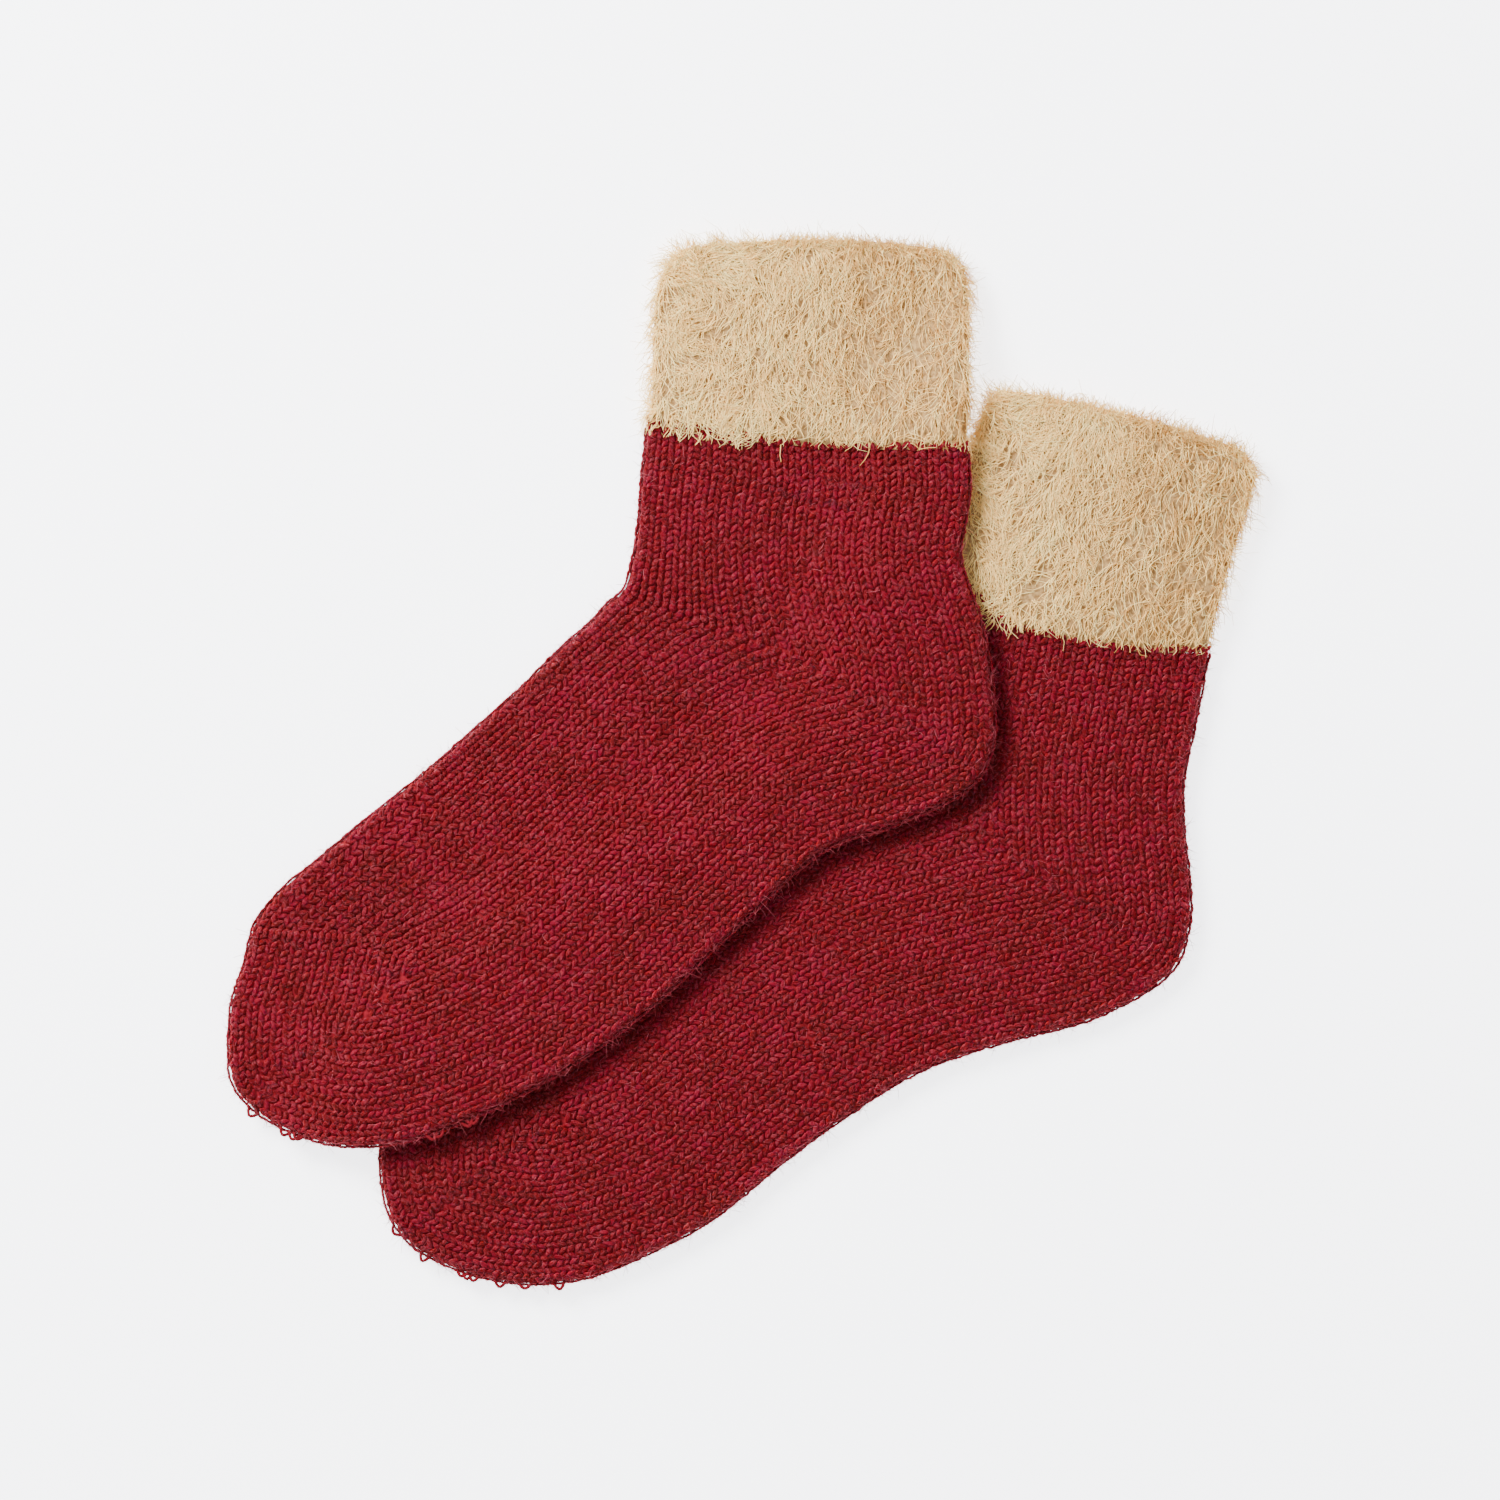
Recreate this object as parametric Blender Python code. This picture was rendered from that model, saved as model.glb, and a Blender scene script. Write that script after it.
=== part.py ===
"""Pair of knitted house socks, laid flat on their sides with one sock over the other.

Each sock is a flattened tube of thick knitted cloth: a marled red leg, heel, foot and toe in one
piece, and a brushed cream cuff that carries on from the leg. The tube is lofted through sections that
run from the instep edge to the heel and sole edge. How thick the tube is at a point follows from how
far that point lies inside the sock's outline, so both edges are half round. The front sock climbs
over the rear one, and each underside is flat where it rests.
Metres, +Z up, the underside on Z = 0 and the origin under the middle of the pair.
"""

from collections import namedtuple

import bmesh
import bpy
import numpy as np

MM = 0.001

# The cloth, in millimetres
BODY_WALL = 3.0
CUFF_WALL = 3.6
INNER_GAP = 1.0
SEAM_GAP = 0.3
LAY_GAP = 0.3

# The front sock begins to rise this far outside the rear one's edge, and is fully up this far outside
CLIMB_START = 36.0
CLIMB_END = 3.0

# The upper face swells this much, over this distance from the edge, in millimetres
PUFF = 1.2
PUFF_REACH = 26.0
COVER_REACH = 12.0

# The lip of the cuff's mouth is thinner by this share, over this part of the first row
LIP_THINNING = 0.16
LIP_ROWS = 0.4

# The grid of the loft: angles of the half round edge in degrees, columns and steps in millimetres
EDGE_ANGLES = (0.0, 40.0, 65.0, 90.0)
FACE_COLUMNS = 12
STATION_STEP = 8.0
OUTLINE_STEPS = 12
DEPTH_TRIES = 7
WIDEST_EDGE = 0.42
MOUTH_REACH = 20.0

# Row of both tables where the cream yarn ends and the red yarn begins
CHANGE_ROW = 5

# A section from the instep edge to the heel and sole edge, in millimetres. Its middle bows toward the
# mouth by the last number. The last row is the tip of the toe.
Section = namedtuple("Section", "instep_x instep_y sole_x sole_y bow")

FRONT_SOCK = (
    Section(-18.0, 143.0, 59.0, 142.5, 3.0),
    Section(-22.5, 137.5, 63.0, 137.5, 3.0),
    Section(-25.0, 130.5, 64.5, 129.0, 2.0),
    Section(-26.0, 118.0, 64.5, 116.5, 0.5),
    Section(-26.0, 105.5, 64.5, 101.0, -1.0),
    Section(-27.0, 93.5, 63.5, 87.0, -2.5),
    Section(-28.5, 79.0, 64.0, 76.0, -2.0),
    Section(-29.5, 66.0, 62.5, 66.0, -1.5),
    Section(-31.0, 57.0, 61.5, 56.0, -1.0),
    Section(-33.5, 48.5, 67.5, 37.5, 0.0),
    Section(-38.0, 44.5, 70.5, 18.5, 0.0),
    Section(-43.0, 39.0, 70.0, 3.0, 0.0),
    Section(-51.0, 32.0, 62.5, -8.5, 0.0),
    Section(-62.0, 21.0, 43.0, -18.0, 0.0),
    Section(-76.0, 8.5, 22.5, -25.5, 0.0),
    Section(-90.5, -4.0, 1.0, -44.5, 0.0),
    Section(-105.5, -16.0, -23.0, -67.0, 0.0),
    Section(-117.5, -26.0, -42.5, -82.0, 0.0),
    Section(-129.0, -35.5, -62.0, -93.5, 0.0),
    Section(-136.5, -45.0, -80.5, -102.0, 0.0),
    Section(-139.5, -56.0, -98.0, -107.0, 0.0),
    Section(-143.0, -67.0, -112.5, -107.5, 0.0),
    Section(-144.0, -78.0, -124.5, -104.5, 0.0),
    Section(-143.5, -88.0, -134.5, -99.5, 0.0),
    Section(-140.5, -94.0, -140.5, -94.0, 0.0),
)

REAR_SOCK = (
    Section(70.5, 104.0, 140.5, 87.0, 2.0),
    Section(66.5, 98.0, 144.0, 81.5, 2.0),
    Section(63.5, 90.0, 143.0, 74.0, 1.0),
    Section(58.5, 77.5, 139.5, 62.0, -1.0),
    Section(53.0, 64.0, 135.5, 48.0, -4.0),
    Section(47.5, 50.0, 131.0, 30.5, -6.5),
    Section(45.5, 36.5, 129.0, 20.0, -5.0),
    Section(43.5, 23.0, 126.5, 7.5, -3.5),
    Section(40.5, 11.0, 124.0, -5.0, -1.5),
    Section(35.5, 3.0, 124.0, -18.5, 0.0),
    Section(30.0, -1.5, 125.5, -33.0, 0.0),
    Section(24.5, -6.5, 125.5, -46.0, 0.0),
    Section(16.0, -12.5, 119.5, -60.0, 0.0),
    Section(4.5, -19.0, 99.0, -72.0, 0.0),
    Section(-10.0, -26.5, 75.0, -78.5, 0.0),
    Section(-25.0, -34.5, 51.0, -86.5, 0.0),
    Section(-40.5, -43.0, 29.5, -99.5, 0.0),
    Section(-53.0, -51.0, 11.0, -113.0, 0.0),
    Section(-65.5, -58.5, -7.5, -128.0, 0.0),
    Section(-77.5, -66.0, -26.0, -138.0, 0.0),
    Section(-88.0, -75.0, -42.5, -144.5, 0.0),
    Section(-95.5, -85.5, -57.5, -146.5, 0.0),
    Section(-100.0, -97.5, -71.0, -145.0, 0.0),
    Section(-101.5, -109.0, -82.0, -141.5, 0.0),
    Section(-101.0, -118.5, -92.0, -136.0, 0.0),
    Section(-98.5, -128.0, -98.5, -128.0, 0.0),
)

# A soft fold of the upper face, from one end to the other, in millimetres. A trough is below zero.
Fold = namedtuple("Fold", "start_x start_y end_x end_y half_width height")

FRONT_FOLDS = (
    Fold(-31.0, 48.0, -8.0, 40.0, 6.0, -0.7),
    Fold(-36.0, 40.0, -14.0, 30.0, 6.0, 0.5),
    Fold(-117.0, -43.5, -92.0, -49.5, 5.0, -1.0),
    Fold(-129.0, -48.5, -94.0, -55.0, 4.5, 0.9),
    Fold(13.0, 30.0, 62.0, -2.0, 7.0, 0.6),
    Fold(-72.0, -18.0, -20.0, 12.0, 9.0, 0.5),
)

REAR_FOLDS = (
    Fold(-58.0, -101.0, -50.0, -106.0, 5.0, -0.9),
    Fold(-66.0, -106.0, -52.0, -112.0, 4.5, 0.8),
    Fold(86.0, -22.0, 117.0, -45.0, 7.0, 0.6),
    Fold(96.0, 26.0, 100.0, -4.0, 8.0, 0.5),
)

# A sock's table and folds, the radius and outline of each part of the sock below it, and the outline
# of the sock that covers it
Sock = namedtuple("Sock", "sections folds below cover")

RED_KNIT = ("marled_red_knit", (0.36, 0.018, 0.026, 1.0), 0.95)
CREAM_KNIT = ("brushed_cream_knit", (0.66, 0.49, 0.29, 1.0), 0.98)


def smooth_step(value):
    """Rises from 0 to 1 as value does, level at both ends."""
    value = np.clip(value, 0.0, 1.0)
    return value * value * (3.0 - 2.0 * value)


def rows_at(sections, stations):
    """Reads the table at fractional rows, by Catmull-Rom. Past the toe's tip the two edges change places."""
    rows = np.array(sections, float)
    before = 2.0 * rows[0] - rows[1]
    after = rows[-2][[2, 3, 0, 1, 4]]
    rows = np.vstack([before, rows, after])
    stations = np.asarray(stations, float)
    first = np.clip(np.floor(stations).astype(int), 0, len(sections) - 2)
    part = (stations - first)[:, None]
    a, b, c, d = (rows[first + step] for step in range(4))
    cubic = 3.0 * (b - c) + d - a
    square = 2.0 * a - 5.0 * b + 4.0 * c - d
    return b + 0.5 * part * (c - a + part * (square + part * cubic))


def section_points(rows, offsets):
    """Plan points that lie these offsets, in millimetres, along each section from its instep edge."""
    instep, sole = rows[:, None, 0:2], rows[:, None, 2:4]
    width = np.maximum(np.linalg.norm(sole - instep, axis=2, keepdims=True), 1e-9)
    along = (sole - instep) / width
    toward_mouth = np.stack([-along[..., 1], along[..., 0]], axis=-1)
    share = offsets[..., None] / width
    bow = rows[:, None, 4:5] * 4.0 * share * (1.0 - share)
    return instep + along * offsets[..., None] + toward_mouth * bow


def widths_of(rows):
    """The straight width of each section."""
    return np.linalg.norm(rows[:, 2:4] - rows[:, 0:2], axis=1)


def edge_line(sections):
    """The sock's edge from the mouth round the toe to the mouth, run on past the mouth at both ends."""
    last = len(sections) - 1
    rows = rows_at(sections, np.linspace(0.0, last, last * OUTLINE_STEPS + 1))
    line = np.vstack([rows[:, 0:2], rows[-2::-1, 2:4]])
    ends = []
    for near, next_one in ((line[0], line[1]), (line[-1], line[-2])):
        away = (near - next_one) / np.linalg.norm(near - next_one)
        ends.append(near + away * MOUTH_REACH)
    return np.vstack([ends[0], line, ends[1]])


def closed_outline(sections, last_row):
    """The sock's outline from its mouth down to a row, with the bowed section at each open end."""
    rows = rows_at(sections, np.linspace(0.0, last_row, last_row * OUTLINE_STEPS + 1))
    across = np.linspace(0.0, 1.0, OUTLINE_STEPS + 1)[None, :]
    ends = [section_points(row[None, :], across * widths_of(row[None, :]))[0] for row in (rows[0], rows[-1])]
    return np.vstack([rows[:, 0:2], ends[1], rows[::-1, 2:4], ends[0][::-1]])


def distance_to(points, line):
    """The distance from each plan point to a line of straight steps."""
    start, step = line[:-1], np.diff(line, axis=0)
    length = np.maximum((step**2).sum(axis=1), 1e-12)
    offset = points[..., None, :] - start
    share = np.clip((offset * step).sum(axis=-1) / length, 0.0, 1.0)
    gap = offset - share[..., None] * step
    return np.sqrt((gap**2).sum(axis=-1).min(axis=-1))


def depth_inside(points, outline):
    """How far each plan point lies inside a closed outline. Outside it, the distance is below zero."""
    closed = np.vstack([outline, outline[:1]])
    start, end = closed[:-1], closed[1:]
    x, y = points[..., 0:1], points[..., 1:2]
    spans = (start[:, 1] > y) != (end[:, 1] > y)
    rise = np.where(end[:, 1] == start[:, 1], 1e-12, end[:, 1] - start[:, 1])
    crossing = start[:, 0] + (y - start[:, 1]) / rise * (end[:, 0] - start[:, 0])
    inside = (spans & (x < crossing)).sum(axis=-1) % 2 == 1
    return np.where(inside, 1.0, -1.0) * distance_to(points, closed)


def edge_height(depth, radius):
    """Height of a half round edge over its middle, at this depth inside it."""
    depth = np.clip(depth, 0.0, radius)
    return np.sqrt(radius**2 - (radius - depth) ** 2)


def climb_over(points, radius_and_outlines):
    """How far the underside is lifted at each plan point, so that it lies on the sock below, if any."""
    if not radius_and_outlines:
        return np.zeros(points.shape[:-1])
    lifts = []
    for radius, outline in radius_and_outlines:
        rise = (depth_inside(points, outline) + CLIMB_START) / (CLIMB_START - CLIMB_END)
        lifts.append((2.0 * radius + LAY_GAP) * smooth_step(rise))
    return np.maximum(*lifts)


def relief(points, depth, folds, cover):
    """Swell and folds of the upper face. They fade out under the sock that covers it."""
    height = PUFF * smooth_step(depth / PUFF_REACH)
    for fold in folds:
        line = np.array([[fold.start_x, fold.start_y], [fold.end_x, fold.end_y]])
        height = height + fold.height * np.exp(-((distance_to(points, line) / fold.half_width) ** 2))
    if cover is not None:
        height = height * smooth_step(-depth_inside(points, cover) / COVER_REACH)
    return height


def offsets_at_depths(rows, edge, depths):
    """Offsets from both ends of each section at which the cloth is these depths inside the edge."""
    width = widths_of(rows)[:, None]
    most = WIDEST_EDGE * width * depths / depths[-1]
    sides = []
    for from_sole in (False, True):
        offsets = np.minimum(np.repeat(depths[None, :], len(rows), axis=0), most)
        for _ in range(DEPTH_TRIES):
            measured = width - offsets if from_sole else offsets
            short = depths - distance_to(section_points(rows, measured), edge)
            offsets = np.clip(offsets + short, 0.0, most)
        sides.append(offsets)
    return sides[0], (width - sides[1])[:, ::-1]


def even_stations(sections, start, end):
    """Fractional rows from start to end, about as far apart along the longer edge everywhere."""
    fine = np.linspace(start, end, 400)
    moved = np.diff(rows_at(sections, fine), axis=0)
    steps = np.maximum(np.linalg.norm(moved[:, 0:2], axis=1), np.linalg.norm(moved[:, 2:4], axis=1))
    run = np.concatenate([[0.0], np.cumsum(steps)])
    count = max(int(round(run[-1] / STATION_STEP)), 2)
    return np.interp(np.linspace(0.0, run[-1], count + 1), run, fine)


def ring_points(plan, middle, upper, lower):
    """A ring of points: over the upper face from the instep edge to the sole edge, and back underneath."""
    top = np.concatenate([plan, (middle + upper)[:, None]], axis=1)
    under = np.concatenate([plan, (middle - lower)[:, None]], axis=1)
    return np.vstack([top, under[-2:0:-1]])


def outer_and_inner(sock, stations, wall):
    """Rings of the outside, and rings of the inside at every second one, with half as many points."""
    sections, folds, below, cover = sock
    radius = wall + INNER_GAP / 2.0
    edge = edge_line(sections)
    rows = rows_at(sections, stations)
    edge_depths = radius * (1.0 - np.cos(np.radians(EDGE_ANGLES)))
    left, right = offsets_at_depths(rows, edge, edge_depths)
    across = np.linspace(0.0, 1.0, FACE_COLUMNS + 1)[1:-1]
    face = left[:, -1:] + across * (right[:, :1] - left[:, -1:])
    outer_offsets = np.hstack([left, face, right])
    lining_depths = np.array([wall, wall + INNER_GAP / 2.0])
    left, right = offsets_at_depths(rows, edge, lining_depths)
    inner_offsets = np.hstack([left, outer_offsets[:, 4:-4:2], right])
    outer, inner = [], []
    for index, row in enumerate(rows):
        lip = 1.0 - LIP_THINNING * max(0.0, 1.0 - stations[index] / LIP_ROWS) ** 2
        plan = section_points(row[None, :], outer_offsets[index : index + 1])[0]
        depth = distance_to(plan, edge)
        depth[[0, -1]] = 0.0
        height = edge_height(depth, radius)
        middle = climb_over(plan, below) + radius
        extra = relief(plan, depth, folds, cover) * height / radius
        outer.append(ring_points(plan, middle, height * lip + extra, height))
        if index % 2 and index != len(rows) - 1:
            continue
        plan = section_points(row[None, :], inner_offsets[index : index + 1])[0]
        height = edge_height(distance_to(plan, edge) - wall, INNER_GAP / 2.0)
        height[[0, -1]] = 0.0
        if height.max() < INNER_GAP / 4.0:
            continue
        middle = climb_over(plan, below) + radius
        inner.append(ring_points(plan, middle, height, height))
    return outer, inner


def close_end(ring, lining):
    """Faces between an outer ring and an inner ring of half as many points."""
    faces = []
    count = len(lining)
    for step in range(count):
        next_step = (step + 1) % count
        near, middle, far = ring[2 * step], ring[2 * step + 1], ring[(2 * step + 2) % len(ring)]
        faces.append((near, middle, lining[step]))
        faces.append((middle, far, lining[next_step], lining[step]))
    return faces


def tube_faces(rings, tip):
    """Faces round a run of rings, closed at the last one by a tip point where there is one."""
    faces = []
    for ring, next_ring in zip(rings, rings[1:]):
        count = len(ring)
        for step in range(count):
            after = (step + 1) % count
            faces.append((ring[step], next_ring[step], next_ring[after], ring[after]))
    if tip is not None:
        last = rings[-1]
        faces.extend((last[step], tip, last[(step + 1) % len(last)]) for step in range(len(last)))
    return faces


def cloth_wall(name, outer, inner, tips, material, collection):
    """One closed wall of cloth from its outer and inner rings. tips are the toe's two end points, if any."""
    points, rings = [], []
    for ring in outer + inner:
        rings.append(list(range(len(points), len(points) + len(ring))))
        points.extend(tuple(point * MM) for point in ring)
    outside, inside = rings[: len(outer)], rings[len(outer) :]
    tip_indices = [None, None]
    if tips is not None:
        tip_indices = [len(points), len(points) + 1]
        points.extend(tuple(tip * MM) for tip in tips)
    faces = tube_faces(outside, tip_indices[0]) + tube_faces(inside, tip_indices[1])
    faces += close_end(outside[0], inside[0])
    if tips is None:
        faces += close_end(outside[-1], inside[-1])
    mesh = bpy.data.meshes.new(name)
    mesh.from_pydata(points, [], faces)
    tidy = bmesh.new()
    tidy.from_mesh(mesh)
    bmesh.ops.recalc_face_normals(tidy, faces=tidy.faces)
    tidy.to_mesh(mesh)
    tidy.free()
    mesh.shade_smooth()
    mesh.materials.append(material)
    cloth = bpy.data.objects.new(name, mesh)
    collection.objects.link(cloth)


def half_seam(sections):
    """Half the gap between cuff and leg, in rows of the table."""
    rows = rows_at(sections, [CHANGE_ROW - 0.5, CHANGE_ROW + 0.5])
    return SEAM_GAP / 2.0 / np.linalg.norm((rows[1] - rows[0])[0:2])


def make_cuff(name, sock, material, collection):
    """The brushed cuff, open at the mouth and at the change of yarn."""
    stations = even_stations(sock.sections, 0.0, CHANGE_ROW - half_seam(sock.sections))
    stations = np.sort(np.append(stations, LIP_ROWS))
    outer, inner = outer_and_inner(sock, stations, CUFF_WALL)
    return cloth_wall(name, outer, inner, None, material, collection)


def make_body(name, sock, material, collection):
    """Leg, heel, foot and toe, open at the change of yarn and closed at the toe."""
    sections = sock.sections
    last = len(sections) - 1
    radius = BODY_WALL + INNER_GAP / 2.0
    tip = np.array(sections[-1][0:2])
    before = np.array(sections[-2])
    inward = (before[0:2] + before[2:4]) / 2.0 - tip
    reach = np.linalg.norm(inward)
    tip_angles = np.radians(EDGE_ANGLES[2:])
    tip_stations = last - radius * (1.0 - np.cos(tip_angles))[::-1] / reach
    stations = even_stations(sections, CHANGE_ROW + half_seam(sections), tip_stations[0])
    stations = np.concatenate([stations, tip_stations[1:]])
    outer, inner = outer_and_inner(sock, stations, BODY_WALL)
    lining_tip = tip + inward / reach * radius
    tips = []
    for plan in (tip, lining_tip):
        lift = climb_over(plan[None, :], sock.below)[0]
        tips.append(np.array([plan[0], plan[1], radius + lift]))
    return cloth_wall(name, outer, inner, tips, material, collection)


def knit_material(finish):
    """A plain matt material in the colour of the yarn."""
    name, colour, roughness = finish
    material = bpy.data.materials.new(name)
    material.use_nodes = True
    shader = material.node_tree.nodes["Principled BSDF"]
    shader.inputs["Base Color"].default_value = colour
    shader.inputs["Roughness"].default_value = roughness
    shader.inputs["Metallic"].default_value = 0.0
    material.diffuse_color = colour
    return material


def main():
    """Makes both socks, the front one over the rear one."""
    for old in list(bpy.data.objects):
        bpy.data.objects.remove(old)
    collection = bpy.data.collections.new("pair_of_house_socks")
    bpy.context.scene.collection.children.link(collection)
    red, cream = knit_material(RED_KNIT), knit_material(CREAM_KNIT)
    rear_surfaces = (
        (BODY_WALL + INNER_GAP / 2.0, closed_outline(REAR_SOCK, len(REAR_SOCK) - 1)),
        (CUFF_WALL + INNER_GAP / 2.0, closed_outline(REAR_SOCK, CHANGE_ROW)),
    )
    front_outline = closed_outline(FRONT_SOCK, len(FRONT_SOCK) - 1)
    front = Sock(FRONT_SOCK, FRONT_FOLDS, rear_surfaces, None)
    rear = Sock(REAR_SOCK, REAR_FOLDS, (), front_outline)
    for side, sock in (("front", front), ("rear", rear)):
        make_cuff(f"{side}_sock_cuff", sock, cream, collection)
        make_body(f"{side}_sock_body", sock, red, collection)


main()
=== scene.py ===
"""Looks of a pair of knitted house socks, laid flat with one sock over the other.

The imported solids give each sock's cloth its size and place. Here every red body becomes a ground wall of
cloth with each stitch of its stockinette over it, and every cuff a ground wall under brushed hair.
Tables and fields are in millimetres, meshes in metres.
"""

import sys

import logging
import math
from dataclasses import dataclass, field
from enum import Enum
from typing import Any, Mapping, NamedTuple, Optional, Sequence

import bmesh
import bpy
import numpy as np
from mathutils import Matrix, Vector


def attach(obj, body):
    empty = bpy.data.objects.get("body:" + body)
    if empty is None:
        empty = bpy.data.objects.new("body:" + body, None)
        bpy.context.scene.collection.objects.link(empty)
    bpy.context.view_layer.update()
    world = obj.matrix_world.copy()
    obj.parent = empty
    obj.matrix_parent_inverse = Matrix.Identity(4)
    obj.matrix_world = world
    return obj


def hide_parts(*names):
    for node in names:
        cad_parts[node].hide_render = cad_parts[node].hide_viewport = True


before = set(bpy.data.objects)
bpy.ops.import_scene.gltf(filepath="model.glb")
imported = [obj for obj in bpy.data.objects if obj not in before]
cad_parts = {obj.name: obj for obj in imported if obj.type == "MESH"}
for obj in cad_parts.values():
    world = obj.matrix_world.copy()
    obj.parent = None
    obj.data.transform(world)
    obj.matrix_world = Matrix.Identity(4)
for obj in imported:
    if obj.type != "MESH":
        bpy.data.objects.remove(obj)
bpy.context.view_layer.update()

LOG = logging.getLogger("house_socks")
MM = 0.001
SEED = 20

# The flattened tube, in millimetres, as its solids have it
BODY_WALL = 3.0
CUFF_WALL = 3.6
INNER_GAP = 1.0
BODY_RADIUS = BODY_WALL + INNER_GAP / 2.0
CUFF_RADIUS = CUFF_WALL + INNER_GAP / 2.0
LAY_GAP = 0.3
CLIMB_START = 36.0
CLIMB_END = 3.0
PUFF = 1.2
PUFF_REACH = 26.0
COVER_REACH = 12.0

# Rows of the tables: where the yarn changes, and one on the leg where its width is read
CHANGE_ROW = 5
LEG_ROW = 7.0

# Steps along lines and past their ends, in rows or in millimetres, and how many points are measured at once
OUTLINE_STEPS = 12
ROW_STEP = 1.0 / 40.0
TURN_STEP = 0.1
PATH_STEP = 0.5
SLOPE_STEP = 0.2
MOUTH_REACH = 20.0
NEAREST_BLOCK = 2000
CROSSING_BLOCK = 4000

# Where stitches go, in millimetres: how far lines run on, what is left bare, hidden or filled, and the edge
PAST_SEAM = 14.0
PAST_SPINE = 80.0
SEAM_SEARCH = 150.0
SEAM_FALL = 0.4
OFFSET_SLACK = 0.1
MITRE_OVERLAP = 0.7
BARE_REACH = 2.45
FILL_PITCH = 1.6
FILL_MARGIN = 1.5
HIDDEN_DEPTH = 12.0
UNDER_CUFF = 2.2
EDGE_INSET = 0.1
EDGE_PITCH = 0.56

# Yarn on the cloth, in millimetres, shares and radians: how unevenly it lies, its step up to the cuff, how
# far its tops stand over the face, and how far lengths on the outline lean
INSIDE = 0.03
PLACE_SPREAD = 0.11
HEIGHT_SPREAD = 0.1
SIZE_SPREAD = 0.09
REST_SHARE = 0.65
CUFF_STEP = 0.6
STEP_START = 2.5
STEP_LENGTH = 3.5
LEG_PROUD = 0.15
SEAM_PROUD = 0.55
EDGE_PROUD = 0.3
SHORT_LEG = 2.4
SEAM_INSIDE = 0.6
EDGE_LEAN = 0.55

# Loose wool fibres, in millimetres and shares of their length: roots, paths, and what the edge adds
FIBRE_FLOOR = 0.3
ROOT_INSIDE = 0.1
RIM_BAND = 2.6
FIBRE_SCATTER = 0.8
FIBRE_SINK = 0.3
FIBRE_LENGTH = (1.2, 3.2)
FIBRE_RUN = 0.8
FIBRE_LIFT = (0.2, 0.5)
FIBRE_FALL = (0.1, 0.5)
FIBRE_SWAY = 0.25
FIBRE_THICK = (0.05, 0.1)
EDGE_STAND = 1.4
EDGE_LONGER = 1.25
EDGE_LIFT = 0.3

# Slack loops: rows from the toe's lower corner, millimetres, and thickness as a share of the yarn's width
LOOP_ROWS = (-5.5, 0.6)
LOOP_INSET = 0.35
LOOP_SINK = 0.5
LOOP_WIDTH = (3.0, 4.4)
LOOP_REACH = (7.0, 10.0)
LOOP_SHARE = 0.32

# Locks of hair, in shares of the way across the cuff, rows from its mouth, degrees and millimetres
LOOSE_SHARE, LOOSE_BLEND = 0.42, 0.25
CALM_SHARE, CALM_BLEND = 0.35, 0.4
COMBED_ROWS, COMBED_BLEND = 2.6, 2.0
COMBED_TURN = 70.0
CALM_WANDER, LOOSE_WANDER = 16.0, 50.0
WANDER_PITCH = 17.0
LOCK_TURN = 26.0
TURNED_ROWS = 1.1
TURNED_SHARE = 0.6
LOCK_LENGTH = (3.6, 8.0)
LOCK_SCATTER = 0.6

# Single hairs, in degrees, millimetres, shares of all, and tones from dark to light
HAIR_TURN = 20.0
LONG_SHARE = 0.12
LONG_LENGTH = (7.0, 11.0)
LENGTH_SPREAD = (0.8, 1.2)
LEAST_FLOW = 0.15
TOOTH_ROOM = 1.8
TOOTH_SPREAD = 0.4
LEAST_LENGTH = 0.5
LEAST_ROOM = 0.7
CROSSING_SHARE = 0.015
THINNED_SHARE = 0.45
HAIR_CLIMB = (1.8, 3.6)
HAIR_TIP = (0.6, 1.9)
HAIR_BEND = 0.6
HAIR_THICK, LONG_THICK = (0.1, 0.19), (0.08, 0.12)
HAIR_TONE, LONG_TONE = (0.0, 0.8), (0.8, 1.0)

# Wisps off the cuff's edges, a few of them finer and longer, in millimetres and shares
WISP_BAND = 2.4
WISP_DRAWS = 9
MOUTH_LIFT = 0.2
WISP_SPREAD = 0.9
FINE_SHARE = 0.15
FINE_LENGTH, WISP_LENGTH = (3.0, 5.5), (1.4, 2.8)
WISP_SWAY = 0.35
FINE_THICK, WISP_THICK = 0.06, (0.1, 0.2)
WISP_TONE = (0.4, 1.0)

# The ground walls, in millimetres and shares: how near points count as one, as the slit's faces or as an
# open end, and where the outer face draws back less or more than elsewhere
MERGE_REACH = 0.001
SLIT_REACH = 1.2 * INNER_GAP
END_REACH = 0.5
CLOSED_SLIT = 0.25
EDGE_SHARE = 0.65
EDGE_BAND = 2.0
TROUGH_ROOM = 0.7

# Segments round a length of yarn and rings along it, fewer where it hardly shows
FINE_YARN = (6, 4)
SHOWN_YARN = (4, 4)
HIDDEN_YARN = (3, 3)


class Section(NamedTuple):
    """A section of the flattened sock from its instep edge to its heel and sole edge, in millimetres."""

    instep_x: float
    instep_y: float
    sole_x: float
    sole_y: float
    bow: float


class Fold(NamedTuple):
    """A soft fold of the upper face, in millimetres. A trough is below zero."""

    start_x: float
    start_y: float
    end_x: float
    end_y: float
    half_width: float
    height: float


class CourseMatch(NamedTuple):
    """How far from the cuff one course meets the spine of the sock, and its instep edge."""

    spine_run: float
    instep_run: float


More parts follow.
